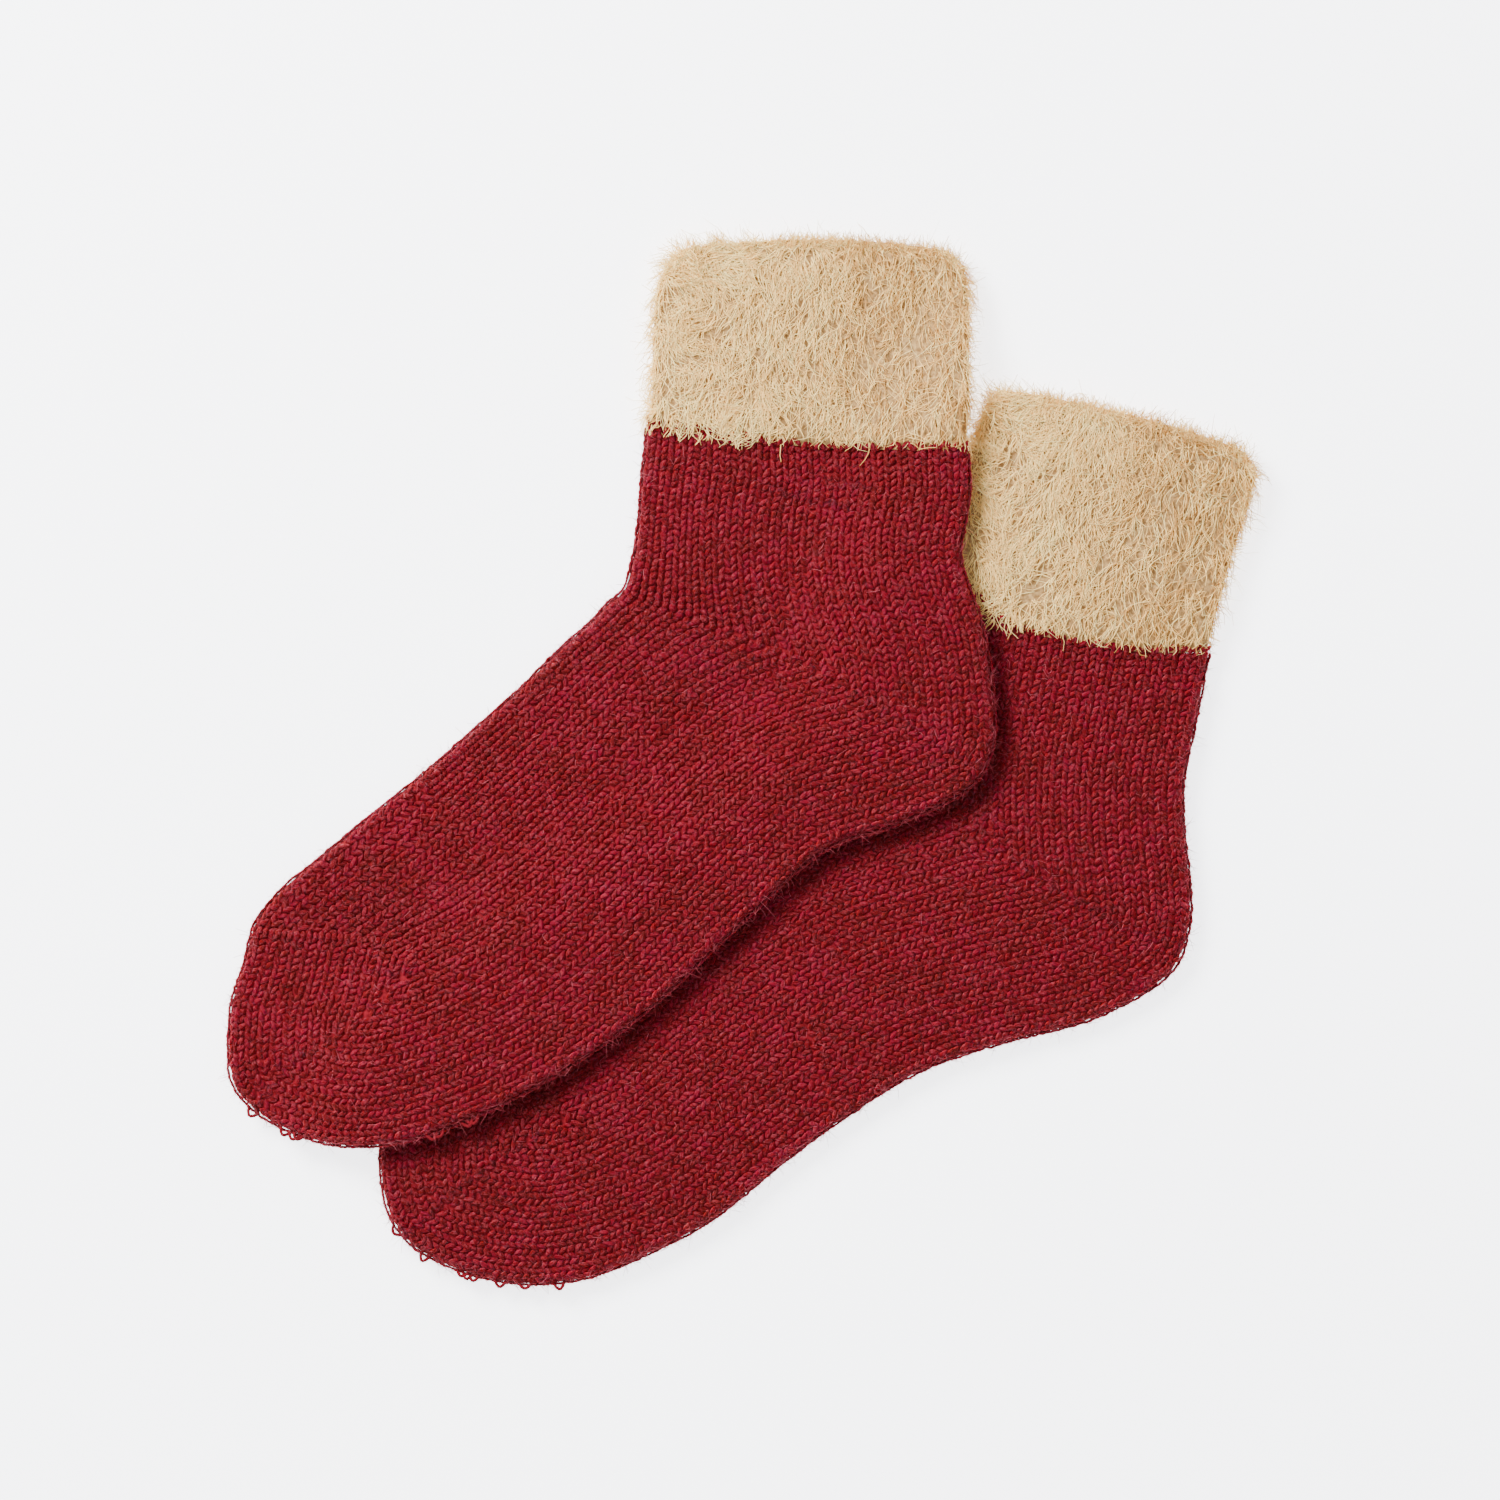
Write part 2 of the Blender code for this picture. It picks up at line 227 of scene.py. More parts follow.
FRONT_SECTIONS = (
    Section(-18.0, 143.0, 59.0, 142.5, 3.0),
    Section(-22.5, 137.5, 63.0, 137.5, 3.0),
    Section(-25.0, 130.5, 64.5, 129.0, 2.0),
    Section(-26.0, 118.0, 64.5, 116.5, 0.5),
    Section(-26.0, 105.5, 64.5, 101.0, -1.0),
    Section(-27.0, 93.5, 63.5, 87.0, -2.5),
    Section(-28.5, 79.0, 64.0, 76.0, -2.0),
    Section(-29.5, 66.0, 62.5, 66.0, -1.5),
    Section(-31.0, 57.0, 61.5, 56.0, -1.0),
    Section(-33.5, 48.5, 67.5, 37.5, 0.0),
    Section(-38.0, 44.5, 70.5, 18.5, 0.0),
    Section(-43.0, 39.0, 70.0, 3.0, 0.0),
    Section(-51.0, 32.0, 62.5, -8.5, 0.0),
    Section(-62.0, 21.0, 43.0, -18.0, 0.0),
    Section(-76.0, 8.5, 22.5, -25.5, 0.0),
    Section(-90.5, -4.0, 1.0, -44.5, 0.0),
    Section(-105.5, -16.0, -23.0, -67.0, 0.0),
    Section(-117.5, -26.0, -42.5, -82.0, 0.0),
    Section(-129.0, -35.5, -62.0, -93.5, 0.0),
    Section(-136.5, -45.0, -80.5, -102.0, 0.0),
    Section(-139.5, -56.0, -98.0, -107.0, 0.0),
    Section(-143.0, -67.0, -112.5, -107.5, 0.0),
    Section(-144.0, -78.0, -124.5, -104.5, 0.0),
    Section(-143.5, -88.0, -134.5, -99.5, 0.0),
    Section(-140.5, -94.0, -140.5, -94.0, 0.0),
)

REAR_SECTIONS = (
    Section(70.5, 104.0, 140.5, 87.0, 2.0),
    Section(66.5, 98.0, 144.0, 81.5, 2.0),
    Section(63.5, 90.0, 143.0, 74.0, 1.0),
    Section(58.5, 77.5, 139.5, 62.0, -1.0),
    Section(53.0, 64.0, 135.5, 48.0, -4.0),
    Section(47.5, 50.0, 131.0, 30.5, -6.5),
    Section(45.5, 36.5, 129.0, 20.0, -5.0),
    Section(43.5, 23.0, 126.5, 7.5, -3.5),
    Section(40.5, 11.0, 124.0, -5.0, -1.5),
    Section(35.5, 3.0, 124.0, -18.5, 0.0),
    Section(30.0, -1.5, 125.5, -33.0, 0.0),
    Section(24.5, -6.5, 125.5, -46.0, 0.0),
    Section(16.0, -12.5, 119.5, -60.0, 0.0),
    Section(4.5, -19.0, 99.0, -72.0, 0.0),
    Section(-10.0, -26.5, 75.0, -78.5, 0.0),
    Section(-25.0, -34.5, 51.0, -86.5, 0.0),
    Section(-40.5, -43.0, 29.5, -99.5, 0.0),
    Section(-53.0, -51.0, 11.0, -113.0, 0.0),
    Section(-65.5, -58.5, -7.5, -128.0, 0.0),
    Section(-77.5, -66.0, -26.0, -138.0, 0.0),
    Section(-88.0, -75.0, -42.5, -144.5, 0.0),
    Section(-95.5, -85.5, -57.5, -146.5, 0.0),
    Section(-100.0, -97.5, -71.0, -145.0, 0.0),
    Section(-101.5, -109.0, -82.0, -141.5, 0.0),
    Section(-101.0, -118.5, -92.0, -136.0, 0.0),
    Section(-98.5, -128.0, -98.5, -128.0, 0.0),
)

FRONT_FOLDS = (
    Fold(-31.0, 48.0, -8.0, 40.0, 6.0, -0.7),
    Fold(-36.0, 40.0, -14.0, 30.0, 6.0, 0.5),
    Fold(-117.0, -43.5, -92.0, -49.5, 5.0, -1.0),
    Fold(-129.0, -48.5, -94.0, -55.0, 4.5, 0.9),
    Fold(13.0, 30.0, 62.0, -2.0, 7.0, 0.6),
    Fold(-72.0, -18.0, -20.0, 12.0, 9.0, 0.5),
)

REAR_FOLDS = (
    Fold(-58.0, -101.0, -50.0, -106.0, 5.0, -0.9),
    Fold(-66.0, -106.0, -52.0, -112.0, 4.5, 0.8),
    Fold(86.0, -22.0, 117.0, -45.0, 7.0, 0.6),
    Fold(96.0, 26.0, 100.0, -4.0, 8.0, 0.5),
)

# The linked seam across the toes, from the toe cap's outer edge inward, in millimetres
FRONT_SEAM = (
    (-139.7, -45.8), (-134.4, -47.2), (-126.6, -48.3), (-118.2, -48.6), (-100.0, -50.0), (-87.4, -55.6)
)
REAR_SEAM = ((-98.0, -90.0), (-92.7, -92.0), (-85.1, -93.7), (-76.7, -94.8), (-58.8, -98.1), (-46.8, -104.9))

# The instep's courses are closer together round the ankle than those of the spine
COURSE_MATCHES = (
    CourseMatch(0.0, 0.0),
    CourseMatch(57.8, 45.5),
    CourseMatch(103.0, 77.6),
    CourseMatch(159.2, 127.6),
)


class Face(Enum):
    """The two faces of a flattened sock."""

    UPPER = 1.0
    UNDER = -1.0


def linear(hex_colour: str) -> tuple[float, float, float, float]:
    """Turns an sRGB hex colour into linear values.

    Args:
        hex_colour: Six hex digits, with or without a leading mark.

    Returns:
        Linear red, green and blue, and a full alpha.
    """
    digits = hex_colour.lstrip("#")
    channels = [int(digits[start : start + 2], 16) / 255.0 for start in (0, 2, 4)]
    bent = [c / 12.92 if c <= 0.04045 else ((c + 0.055) / 1.055) ** 2.4 for c in channels]
    return (bent[0], bent[1], bent[2], 1.0)


def add_node(
    tree: bpy.types.NodeTree, kind: str, feeds: Optional[Mapping[Any, Any]] = None, **settings: Any
) -> bpy.types.Node:
    """Adds a node with its settings and links.

    Args:
        tree: The node tree that gets the node.
        kind: The node's type name.
        feeds: For each input, by name or number, a socket to link, a list of them, or a fixed value.
        **settings: Properties of the node itself.

    Returns:
        The new node.
    """
    node = tree.nodes.new(kind)
    for name, value in settings.items():
        setattr(node, name, value)
    for key, value in (feeds or {}).items():
        for item in value if isinstance(value, list) else [value]:
            if isinstance(item, bpy.types.NodeSocket):
                tree.links.new(item, node.inputs[key])
            else:
                node.inputs[key].default_value = item
    return node


def smooth_step(value: np.ndarray) -> np.ndarray:
    """Rises from 0 to 1 as value does, level at both ends."""
    value = np.clip(value, 0.0, 1.0)
    return value * value * (3.0 - 2.0 * value)


def unit(vectors: np.ndarray) -> np.ndarray:
    """The same directions with a length of one."""
    return vectors / np.maximum(np.linalg.norm(vectors, axis=-1, keepdims=True), 1e-12)


def within(vectors: np.ndarray, outward: np.ndarray) -> np.ndarray:
    """Unit directions of vectors once they are laid flat in faces with these outward directions."""
    return unit(vectors - outward * (vectors * outward).sum(axis=1, keepdims=True))


def run_lengths(line: np.ndarray) -> np.ndarray:
    """How far along a line of straight steps each of its points is."""
    return np.concatenate([[0.0], np.cumsum(np.linalg.norm(np.diff(line, axis=0), axis=1))])


def read_along(line: np.ndarray, runs: np.ndarray) -> np.ndarray:
    """Points at these distances along a line of straight steps.

    Args:
        line: Plan points, one a row.
        runs: Distances from the line's first point.

    Returns:
        One plan point for each distance.
    """
    measured = run_lengths(line)
    return np.column_stack([np.interp(runs, measured, line[:, axis]) for axis in (0, 1)])


def nearest_on(points: np.ndarray, line: np.ndarray) -> tuple[np.ndarray, np.ndarray]:
    """Measures plan points from a line of straight steps.

    Args:
        points: Plan points, one a row.
        line: The line's points, one a row.

    Returns:
        Each point's distance from the line, and the unit direction away from the line's nearest point.
    """
    start, step = line[:-1], np.diff(line, axis=0)
    length = np.maximum((step**2).sum(axis=1), 1e-12)
    gaps = np.empty_like(points)
    for first in range(0, len(points), NEAREST_BLOCK):
        block = slice(first, first + NEAREST_BLOCK)
        offset = points[block, None, :] - start
        share = np.clip((offset * step).sum(axis=-1) / length, 0.0, 1.0)
        away = offset - share[..., None] * step
        best = (away**2).sum(axis=-1).argmin(axis=-1)
        gaps[block] = away[np.arange(len(best)), best]
    return np.linalg.norm(gaps, axis=1), unit(gaps)


def depth_inside(points: np.ndarray, outline: np.ndarray) -> np.ndarray:
    """How far plan points lie inside a closed outline.

    Args:
        points: Plan points, one a row.
        outline: The outline's points, without a repeat of the first.

    Returns:
        Distances to the outline, below zero for points outside it.
    """
    closed = np.vstack([outline, outline[:1]])
    start, end = closed[:-1], closed[1:]
    rise = np.where(end[:, 1] == start[:, 1], 1e-12, end[:, 1] - start[:, 1])
    inside = np.empty(len(points), bool)
    for first in range(0, len(points), CROSSING_BLOCK):
        block = slice(first, first + CROSSING_BLOCK)
        x, y = points[block, 0:1], points[block, 1:2]
        spans = (start[:, 1] > y) != (end[:, 1] > y)
        crossing = start[:, 0] + (y - start[:, 1]) / rise * (end[:, 0] - start[:, 0])
        inside[block] = (spans & (x < crossing)).sum(axis=-1) % 2 == 1
    return np.where(inside, 1.0, -1.0) * nearest_on(points, closed)[0]


def drift(points: np.ndarray, wavelength: float, seed: int) -> np.ndarray:
    """Smooth random values over plan points.

    Args:
        points: Plan points in millimetres, one a row.
        wavelength: About how far apart the highs are, in millimetres.
        seed: Which of many such fields.

    Returns:
        Values mostly from -1 to 1.
    """
    rng = np.random.default_rng(seed)
    total = np.zeros(len(points))
    waves = 7
    for _ in range(waves):
        angle, phase = rng.uniform(0.0, 2.0 * math.pi, 2)
        pitch = 2.0 * math.pi / (wavelength * rng.uniform(0.7, 1.6))
        total += np.cos(pitch * (points[:, 0] * math.cos(angle) + points[:, 1] * math.sin(angle)) + phase)
    return total * math.sqrt(2.0 / waves) * 0.6


@dataclass
class SockForm:
    """Outline and height of one flattened sock, by the same rule as its solids.

    Attributes:
        sections: The sock's table, from the cuff's mouth to the tip of the toe.
        folds: Folds of the upper face.
        seam: Plan points of the seam across the toes.
        heel_row: Row of the table where the heel's corner is.
        toe_row: Row where the toe's lower corner is.
        seam_row: Row where the seam meets the toe cap's outer edge.
        below: Radius and outline of each part of the sock underneath.
        cover: Outline of the sock on top, if any.
    """

    sections: Sequence[Section]
    folds: Sequence[Fold]
    seam: Sequence[tuple[float, float]]
    heel_row: float
    toe_row: float
    seam_row: float
    below: list[tuple[float, np.ndarray]] = field(default_factory=list)
    cover: Optional[np.ndarray] = None

    def __post_init__(self) -> None:
        """Works out the edge that all heights are measured from."""
        self.last = len(self.sections) - 1
        rows = self.rows_at(np.linspace(0.0, self.last, self.last * OUTLINE_STEPS + 1))
        line = np.vstack([rows[:, 0:2], rows[-2::-1, 2:4]])
        first = line[0] + unit(line[0] - line[1]) * MOUTH_REACH
        final = line[-1] + unit(line[-1] - line[-2]) * MOUTH_REACH
        self.edge = np.vstack([first, line, final])

    def rows_at(self, stations: np.ndarray) -> np.ndarray:
        """Reads the table at fractional rows, by Catmull-Rom.

        Args:
            stations: Fractional row numbers.

        Returns:
            One row of five values for each station. Past the toe's tip the two edges change places.
        """
        rows = np.array(self.sections, float)
        rows = np.vstack([2.0 * rows[0] - rows[1], rows, rows[-2][[2, 3, 0, 1, 4]]])
        stations = np.asarray(stations, float)
        first = np.clip(np.floor(stations).astype(int), 0, self.last - 1)
        part = (stations - first)[:, None]
        a, b, c, d = (rows[first + step] for step in range(4))
        cubic = 3.0 * (b - c) + d - a
        square = 2.0 * a - 5.0 * b + 4.0 * c - d
        return b + 0.5 * part * (c - a + part * (square + part * cubic))

    def across(self, stations: np.ndarray, offsets: np.ndarray) -> np.ndarray:
        """Plan points on sections.

        Args:
            stations: A fractional row for each point.
            offsets: How far along its section each point lies from the instep edge.

        Returns:
            One plan point for each station.
        """
        rows = self.rows_at(stations)
        instep, sole = rows[:, 0:2], rows[:, 2:4]
        width = np.maximum(np.linalg.norm(sole - instep, axis=1, keepdims=True), 1e-9)
        along = (sole - instep) / width
        share = offsets[:, None] / width
        bow = rows[:, 4:5] * 4.0 * share * (1.0 - share)
        return instep + along * offsets[:, None] + np.column_stack([-along[:, 1], along[:, 0]]) * bow

    def open_end(self, row: float) -> tuple[np.ndarray, np.ndarray]:
        """The line across the tube at a row, and the direction down the tube from its middle."""
        rows = np.full(OUTLINE_STEPS * 4, row)
        share = np.linspace(0.0, 1.0, len(rows))
        line = self.across(rows, share * self.widths(rows))
        rows = rows + TURN_STEP
        later = self.across(rows, share * self.widths(rows))
        middle = len(rows) // 2
        return line, unit(later[middle] - line[middle])

    def widths(self, stations: np.ndarray) -> np.ndarray:
        """The straight width of the section at each fractional row."""
        rows = self.rows_at(stations)
        return np.linalg.norm(rows[:, 2:4] - rows[:, 0:2], axis=1)

    def outline(self, last_row: int) -> np.ndarray:
        """The closed outline from the mouth down to a row, with its bowed open ends."""
        rows = self.rows_at(np.linspace(0.0, last_row, last_row * OUTLINE_STEPS + 1))
        ends = []
        for row in (0.0, float(last_row)):
            stations = np.full(OUTLINE_STEPS + 1, row)
            share = np.linspace(0.0, 1.0, OUTLINE_STEPS + 1)
            ends.append(self.across(stations, share * self.widths(stations)))
        return np.vstack([rows[:, 0:2], ends[1], rows[::-1, 2:4], ends[0][::-1]])

    def lift(self, plan: np.ndarray, face: Face) -> np.ndarray:
        """How far the cloth's face is raised over a sock that lies flat and even.

        Args:
            plan: Plan points, one a row.
            face: The upper face swells and folds as well as climbing.

        Returns:
            Heights in millimetres.
        """
        height = np.zeros(len(plan))
        for radius, outline in self.below:
            rise = (depth_inside(plan, outline) + CLIMB_START) / (CLIMB_START - CLIMB_END)
            height = np.maximum(height, (2.0 * radius + LAY_GAP) * smooth_step(rise))
        if face is Face.UNDER:
            return height
        swell = PUFF * smooth_step(nearest_on(plan, self.edge)[0] / PUFF_REACH)
        for fold in self.folds:
            line = np.array([[fold.start_x, fold.start_y], [fold.end_x, fold.end_y]])
            swell = swell + fold.height * np.exp(-((nearest_on(plan, line)[0] / fold.half_width) ** 2))
        if self.cover is not None:
            swell = swell * smooth_step(-depth_inside(plan, self.cover) / COVER_REACH)
        return height + swell

    def lay(self, plan: np.ndarray, radius: float, face: Face, sink: float) -> tuple[np.ndarray, np.ndarray]:
        """Lays plan points on the cloth.

        Args:
            plan: Plan points, one a row.
            radius: Half the flattened tube's thickness.
            face: Which face they go on.
            sink: How far below that face they end up.

        Returns:
            The points in space, and the face's outward unit directions.
        """
        depth, inward = nearest_on(plan, self.edge)
        depth = np.clip(depth, 0.0, radius)
        share = np.sqrt(radius**2 - (radius - depth) ** 2) / radius
        climb, total = self.lift(plan, Face.UNDER), self.lift(plan, face)
        slope = np.column_stack(
            [(self.lift(plan + step, face) - total) / SLOPE_STEP for step in np.eye(2) * SLOPE_STEP]
        )
        side = face.value
        height = climb + radius + side * share * radius + (total - climb) * share
        level = -inward * (1.0 - depth / radius)[:, None] - side * slope * share[:, None]
        outward = unit(np.column_stack([level, side * share]))
        return np.column_stack([plan, height]) - outward * sink, outward


@dataclass
class Stitches:
    """Many stitches in plan: where each lies, which way it runs, and how far it is stretched each way."""

    plan: np.ndarray
    heading: np.ndarray
    fit: np.ndarray

    def legs(self, spread: float, slant: float, uneven: float, rng: np.random.Generator) -> "Stitches":
        """The two legs of each stitch, further apart toward the toe, each a little out of place.

        Args:
            spread: How far a leg's middle is from the stitch's middle.
            slant: How far a leg leans, in radians.
            uneven: How far its lean is off, in radians.
            rng: Random numbers of the piece.

        Returns:
            Two legs for each stitch.
        """
        parts = []
        for side in (1.0, -1.0):
            aside = np.column_stack([self.heading[:, 1], -self.heading[:, 0]]) * side
            lean = (slant + rng.normal(0.0, uneven, len(self.plan)))[:, None]
            plan = self.plan + aside * spread * self.fit[:, 0:1]
            plan = plan + rng.normal(0.0, PLACE_SPREAD, plan.shape)
            parts.append(Stitches(plan, self.heading * np.cos(lean) + aside * np.sin(lean), self.fit))
        return Stitches.joined(parts)

    def kept(self, keep: np.ndarray) -> "Stitches":
        """Only the stitches that are marked."""
        return Stitches(self.plan[keep], self.heading[keep], self.fit[keep])

    @staticmethod
    def joined(parts: Sequence["Stitches"]) -> "Stitches":
        """Several sets of stitches as one."""
        columns = ("plan", "heading", "fit")
        return Stitches(*(np.concatenate([getattr(part, name) for part in parts]) for name in columns))


@dataclass
class Stockinette:
    """Wales and courses of one sock's red body, in plan.

    The back wales run down the heel edge, round the heel, along the sole and round the toe, so they meet in
    a mitre at the heel and another at the toe, as short rows do. The front wales fill the space between
    them and the instep edge. All end at the seam across the toes.

    Attributes:
        form: The sock.
        radius: Half the flattened body's thickness.
        wale: Width of a stitch.
        course: Height of a stitch.
        back_wales: Wales on each face that follow the heel and sole edge.
        front_wales: Wales on each face that follow the instep.
        toe_wales: How many of them turn round the toe in its mitre.
        middle_run: How far down the spine the courses of the foot are counted from.
    """

    form: SockForm
    radius: float
    wale: float = 3.5
    course: float = 2.05
    back_wales: int = 16
    front_wales: int = 11
    toe_wales: int = 14
    middle_run: float = 128.0

    def __post_init__(self) -> None:
        """Works out the edge that the back wales follow, and the two lines beside the front wales."""
        form = self.form
        down = np.arange(CHANGE_ROW - 1.0, form.last, ROW_STEP)
        back_up = np.arange(form.last, form.seam_row, -ROW_STEP)
        line = np.vstack([form.rows_at(down)[:, 2:4], form.rows_at(back_up)[:, 0:2]])
        marks = np.concatenate([down, 2.0 * form.last - back_up, [2.0 * form.last]])
        line = np.vstack([line, line[-1] + unit(line[-1] - line[-4]) * PAST_SEAM])
        runs = run_lengths(line)
        even = np.arange(0.0, runs[-1], PATH_STEP)
        self.rim, self.rim_rows = read_along(line, even), np.interp(even, runs, marks)
        self.cuff = form.outline(CHANGE_ROW)
        self.change = form.open_end(float(CHANGE_ROW))[0]
        inner, rows = self.offset_path(self.depth_of(self.toe_wales * self.wale), np.inf)
        corner = inner[rows < form.toe_row][-1]
        table = np.array(form.seam)
        self.seam = np.vstack([table[table[:, 0] < corner[0] - self.wale], corner])
        self.spine = self.spine_line()
        instep = form.rows_at(np.arange(CHANGE_ROW - 1.0, form.seam_row + 1.0, ROW_STEP))[:, 0:2]
        self.instep = self.run_on(self.below_cuff(instep), PAST_SEAM)
        last = self.match_at_seam()
        beyond = CourseMatch(last.spine_run + PAST_SEAM / 2.0, last.instep_run + PAST_SEAM / 2.0)
        self.matches = [*COURSE_MATCHES, last, beyond]

    def below_cuff(self, path: np.ndarray) -> np.ndarray:
        """The part of a path that starts just under the cuff's edge and runs on outside it."""
        return path[(depth_inside(path, self.cuff) < 0.0) | (nearest_on(path, self.change)[0] < UNDER_CUFF)]

    def depth_of(self, reach: float) -> float:
        """How far inside the outline a point lies that is this far round the half round edge."""
        quarter = math.pi / 2.0 * self.radius
        if reach < quarter:
            return self.radius * (1.0 - math.cos(reach / self.radius))
        return reach - quarter + self.radius

    def offset_path(self, depth: float, last_row: float) -> tuple[np.ndarray, np.ndarray]:
        """A line at an even depth inside the rim, without the loops that an offset makes at corners.

        Args:
            depth: The depth in millimetres.
            last_row: Row at which the rim is cut off.

        Returns:
            The line's plan points, and the rim's row beside each.
        """
        used = self.rim_rows <= last_row
        rim = self.rim[used]
        heading = unit(np.gradient(rim, axis=0))
        path = rim + depth * np.column_stack([heading[:, 1], -heading[:, 0]])
        keep = nearest_on(path, rim)[0] > depth - OFFSET_SLACK
        return path[keep], self.rim_rows[used][keep]

    def spine_line(self) -> np.ndarray:
        """The line between the back wales and the front wales, run on straight past the toes."""
        depth = self.depth_of(self.back_wales * self.wale)
        return self.run_on(self.below_cuff(self.offset_path(depth, self.form.toe_row)[0]), PAST_SPINE)

    def run_on(self, path: np.ndarray, more: float) -> np.ndarray:
        """A path with a straight stretch added at its end."""
        return np.vstack([path, path[-1] + unit(path[-1] - path[-12]) * more])

    def match_at_seam(self) -> CourseMatch:
        """Where the last course, the one along the toe's seam, meets the spine and the instep edge."""
        runs = np.arange(SEAM_SEARCH, run_lengths(self.spine)[-1], PATH_STEP)
        points = read_along(self.spine, runs)
        beyond = points[:, 1] < self.seam_height(points[:, 0])
        instep_end = np.linalg.norm(self.instep - self.seam[0], axis=1).argmin()
        return CourseMatch(runs[beyond.argmax()], run_lengths(self.instep)[instep_end])

    def seam_height(self, x: np.ndarray) -> np.ndarray:
        """The seam's height in plan at each x, run on straight past both of its ends."""
        height = np.interp(x, self.seam[:, 0], self.seam[:, 1])
        steps = np.diff(self.seam, axis=0)
        slopes = steps[:, 1] / steps[:, 0]
        before, after = np.minimum(x - self.seam[0, 0], 0.0), np.maximum(x - self.seam[-1, 0], 0.0)
        return height + slopes[0] * before - SEAM_FALL * after

    def along(self, path: np.ndarray, before: float = 0.0, after: float = 0.0) -> Optional[Stitches]:
        """Stitches at even steps down a path, with a whole number of courses in it.

        Args:
            path: Plan points down a wale.
            before: How far they start before the path does.
            after: How far they end past it.

        Returns:
            The stitches, or nothing on a path that is too short.
        """
        if len(path) < 4:
            return None
        path = np.vstack(
            [path[0] - unit(path[3] - path[0]) * before, path, path[-1] + unit(path[-1] - path[-4]) * after]
        )
        length = run_lengths(path)[-1]
        count = int(round(length / self.course))
        if count < 1:
            return None
        runs = (np.arange(count) + 0.5) * length / count
        plan = read_along(path, runs)
        heading = unit(read_along(path, runs + self.course) - read_along(path, runs - self.course))
        fit = np.tile([1.0, length / count / self.course], (count, 1))
        return Stitches(plan, heading, fit)

    def instep_runs(self, spine_runs: np.ndarray) -> np.ndarray:
        """How far down the instep edge the courses lie that cross the spine at these runs."""
        table = np.array(self.matches)
        return np.interp(spine_runs, table[:, 0], table[:, 1])

    def middle_side(self, points: np.ndarray) -> np.ndarray:
        """Above zero for plan points on the toe's side of the course at the middle of the foot."""
        spine = read_along(self.spine, np.array([self.middle_run]))[0]
        instep = read_along(self.instep, self.instep_runs(np.array([self.middle_run])))[0]
        across = instep - spine
        offset = points - spine
        return across[0] * offset[:, 1] - across[1] * offset[:, 0]

    def back_family(self) -> Stitches:
        """The stitches that follow the heel and sole edge."""
        form, parts = self.form, []
        lap = MITRE_OVERLAP
        for index in range(self.back_wales):
            turns = index < self.toe_wales
            last_row = np.inf if turns else form.toe_row
            path, rows = self.offset_path(self.depth_of((index + 0.5) * self.wale), last_row)
            sole = path[(rows >= form.heel_row) & (rows < form.toe_row)]
            cap = path[rows >= form.toe_row]
            cap = cap[cap[:, 1] < self.seam_height(cap[:, 0])]
            if not turns:
                runs = run_lengths(self.run_on(sole, PAST_SPINE))
                sole = read_along(self.run_on(sole, PAST_SPINE), np.arange(0.0, runs[-1], PATH_STEP))
                sole = sole[sole[:, 1] > self.seam_height(sole[:, 0])]
            toward_toe = self.middle_side(sole) > 0.0
            parts.append(self.along(self.below_cuff(path[rows < form.heel_row]), 0.0, lap))
            parts.append(self.along(sole[~toward_toe], lap, 0.0))
            parts.append(self.along(sole[toward_toe], 0.0, lap if turns else 0.0))
            parts.append(self.along(cap, lap, 0.0))
        return Stitches.joined([stitches for stitches in parts if stitches is not None])

    def front_family(self) -> Stitches:
        """The stitches between the spine and the instep edge."""
        parts = []
        ends = [0.0, self.middle_run, self.matches[-1].spine_run]
        for start, end in zip(ends, ends[1:]):
            mean = (end - start + np.diff(self.instep_runs(np.array([start, end])))[0]) / 2.0
            count = int(round(mean / self.course))
            marks = start + (np.arange(count * 2 + 1)) * (end - start) / count / 2.0
            spine = read_along(self.spine, marks)
            instep = read_along(self.instep, self.instep_runs(marks))
            width = np.linalg.norm(spine - instep, axis=1)
            wrapped = width + (math.pi / 2.0 - 1.0) * self.radius
            for index in range(self.front_wales):
                share = (index + 0.5) / self.front_wales
                inset = np.array([self.depth_of(reach) for reach in share * wrapped])
                line = instep + (spine - instep) * (inset / width)[:, None]
                step = line[2::2] - line[:-2:2]
                spacing = wrapped[1::2] / self.front_wales / self.wale
                fit = np.column_stack([spacing, np.linalg.norm(step, axis=1) / self.course])
                parts.append(Stitches(line[1::2], unit(step), fit))
        found = Stitches.joined(parts)
        return found.kept(found.plan[:, 1] > self.seam_height(found.plan[:, 0]))

    def edge_family(self) -> Stitches:
        """Lengths of yarn right on the outline, which give the edge its small bumps."""
        form = self.form
        rows = np.arange(float(CHANGE_ROW), form.last, ROW_STEP)
        line = np.vstack([form.rows_at(rows)[:, 0:2], form.rows_at(rows[::-1])[:, 2:4]])
        runs = np.arange(1.0, run_lengths(line)[-1] - 1.0, self.course * EDGE_PITCH)
        plan = read_along(line, runs)
        heading = unit(read_along(line, runs + 0.8) - read_along(line, runs - 0.8))
        inward = np.column_stack([-heading[:, 1], heading[:, 0]]) * EDGE_INSET
        inside = depth_inside(plan + inward, form.outline(form.last)) > 0.0
        plan = plan + np.where(inside[:, None], inward, -inward)
        return Stitches(plan, heading, np.ones((len(plan), 2)))

    def body(self, face: Face) -> Stitches:
        """All stitches of one face, without those that lie hidden between the two socks."""
        found = Stitches.joined([self.back_family(), self.front_family()])
        found = self.filled(found.kept(depth_inside(found.plan, self.form.outline(self.form.last)) > 0.0))
        hiders = [outline for _, outline in self.form.below[:1]] if face is Face.UNDER else [self.form.cover]
        for outline in hiders:
            if outline is not None:
                found = found.kept(depth_inside(found.plan, outline) < HIDDEN_DEPTH)
        return found

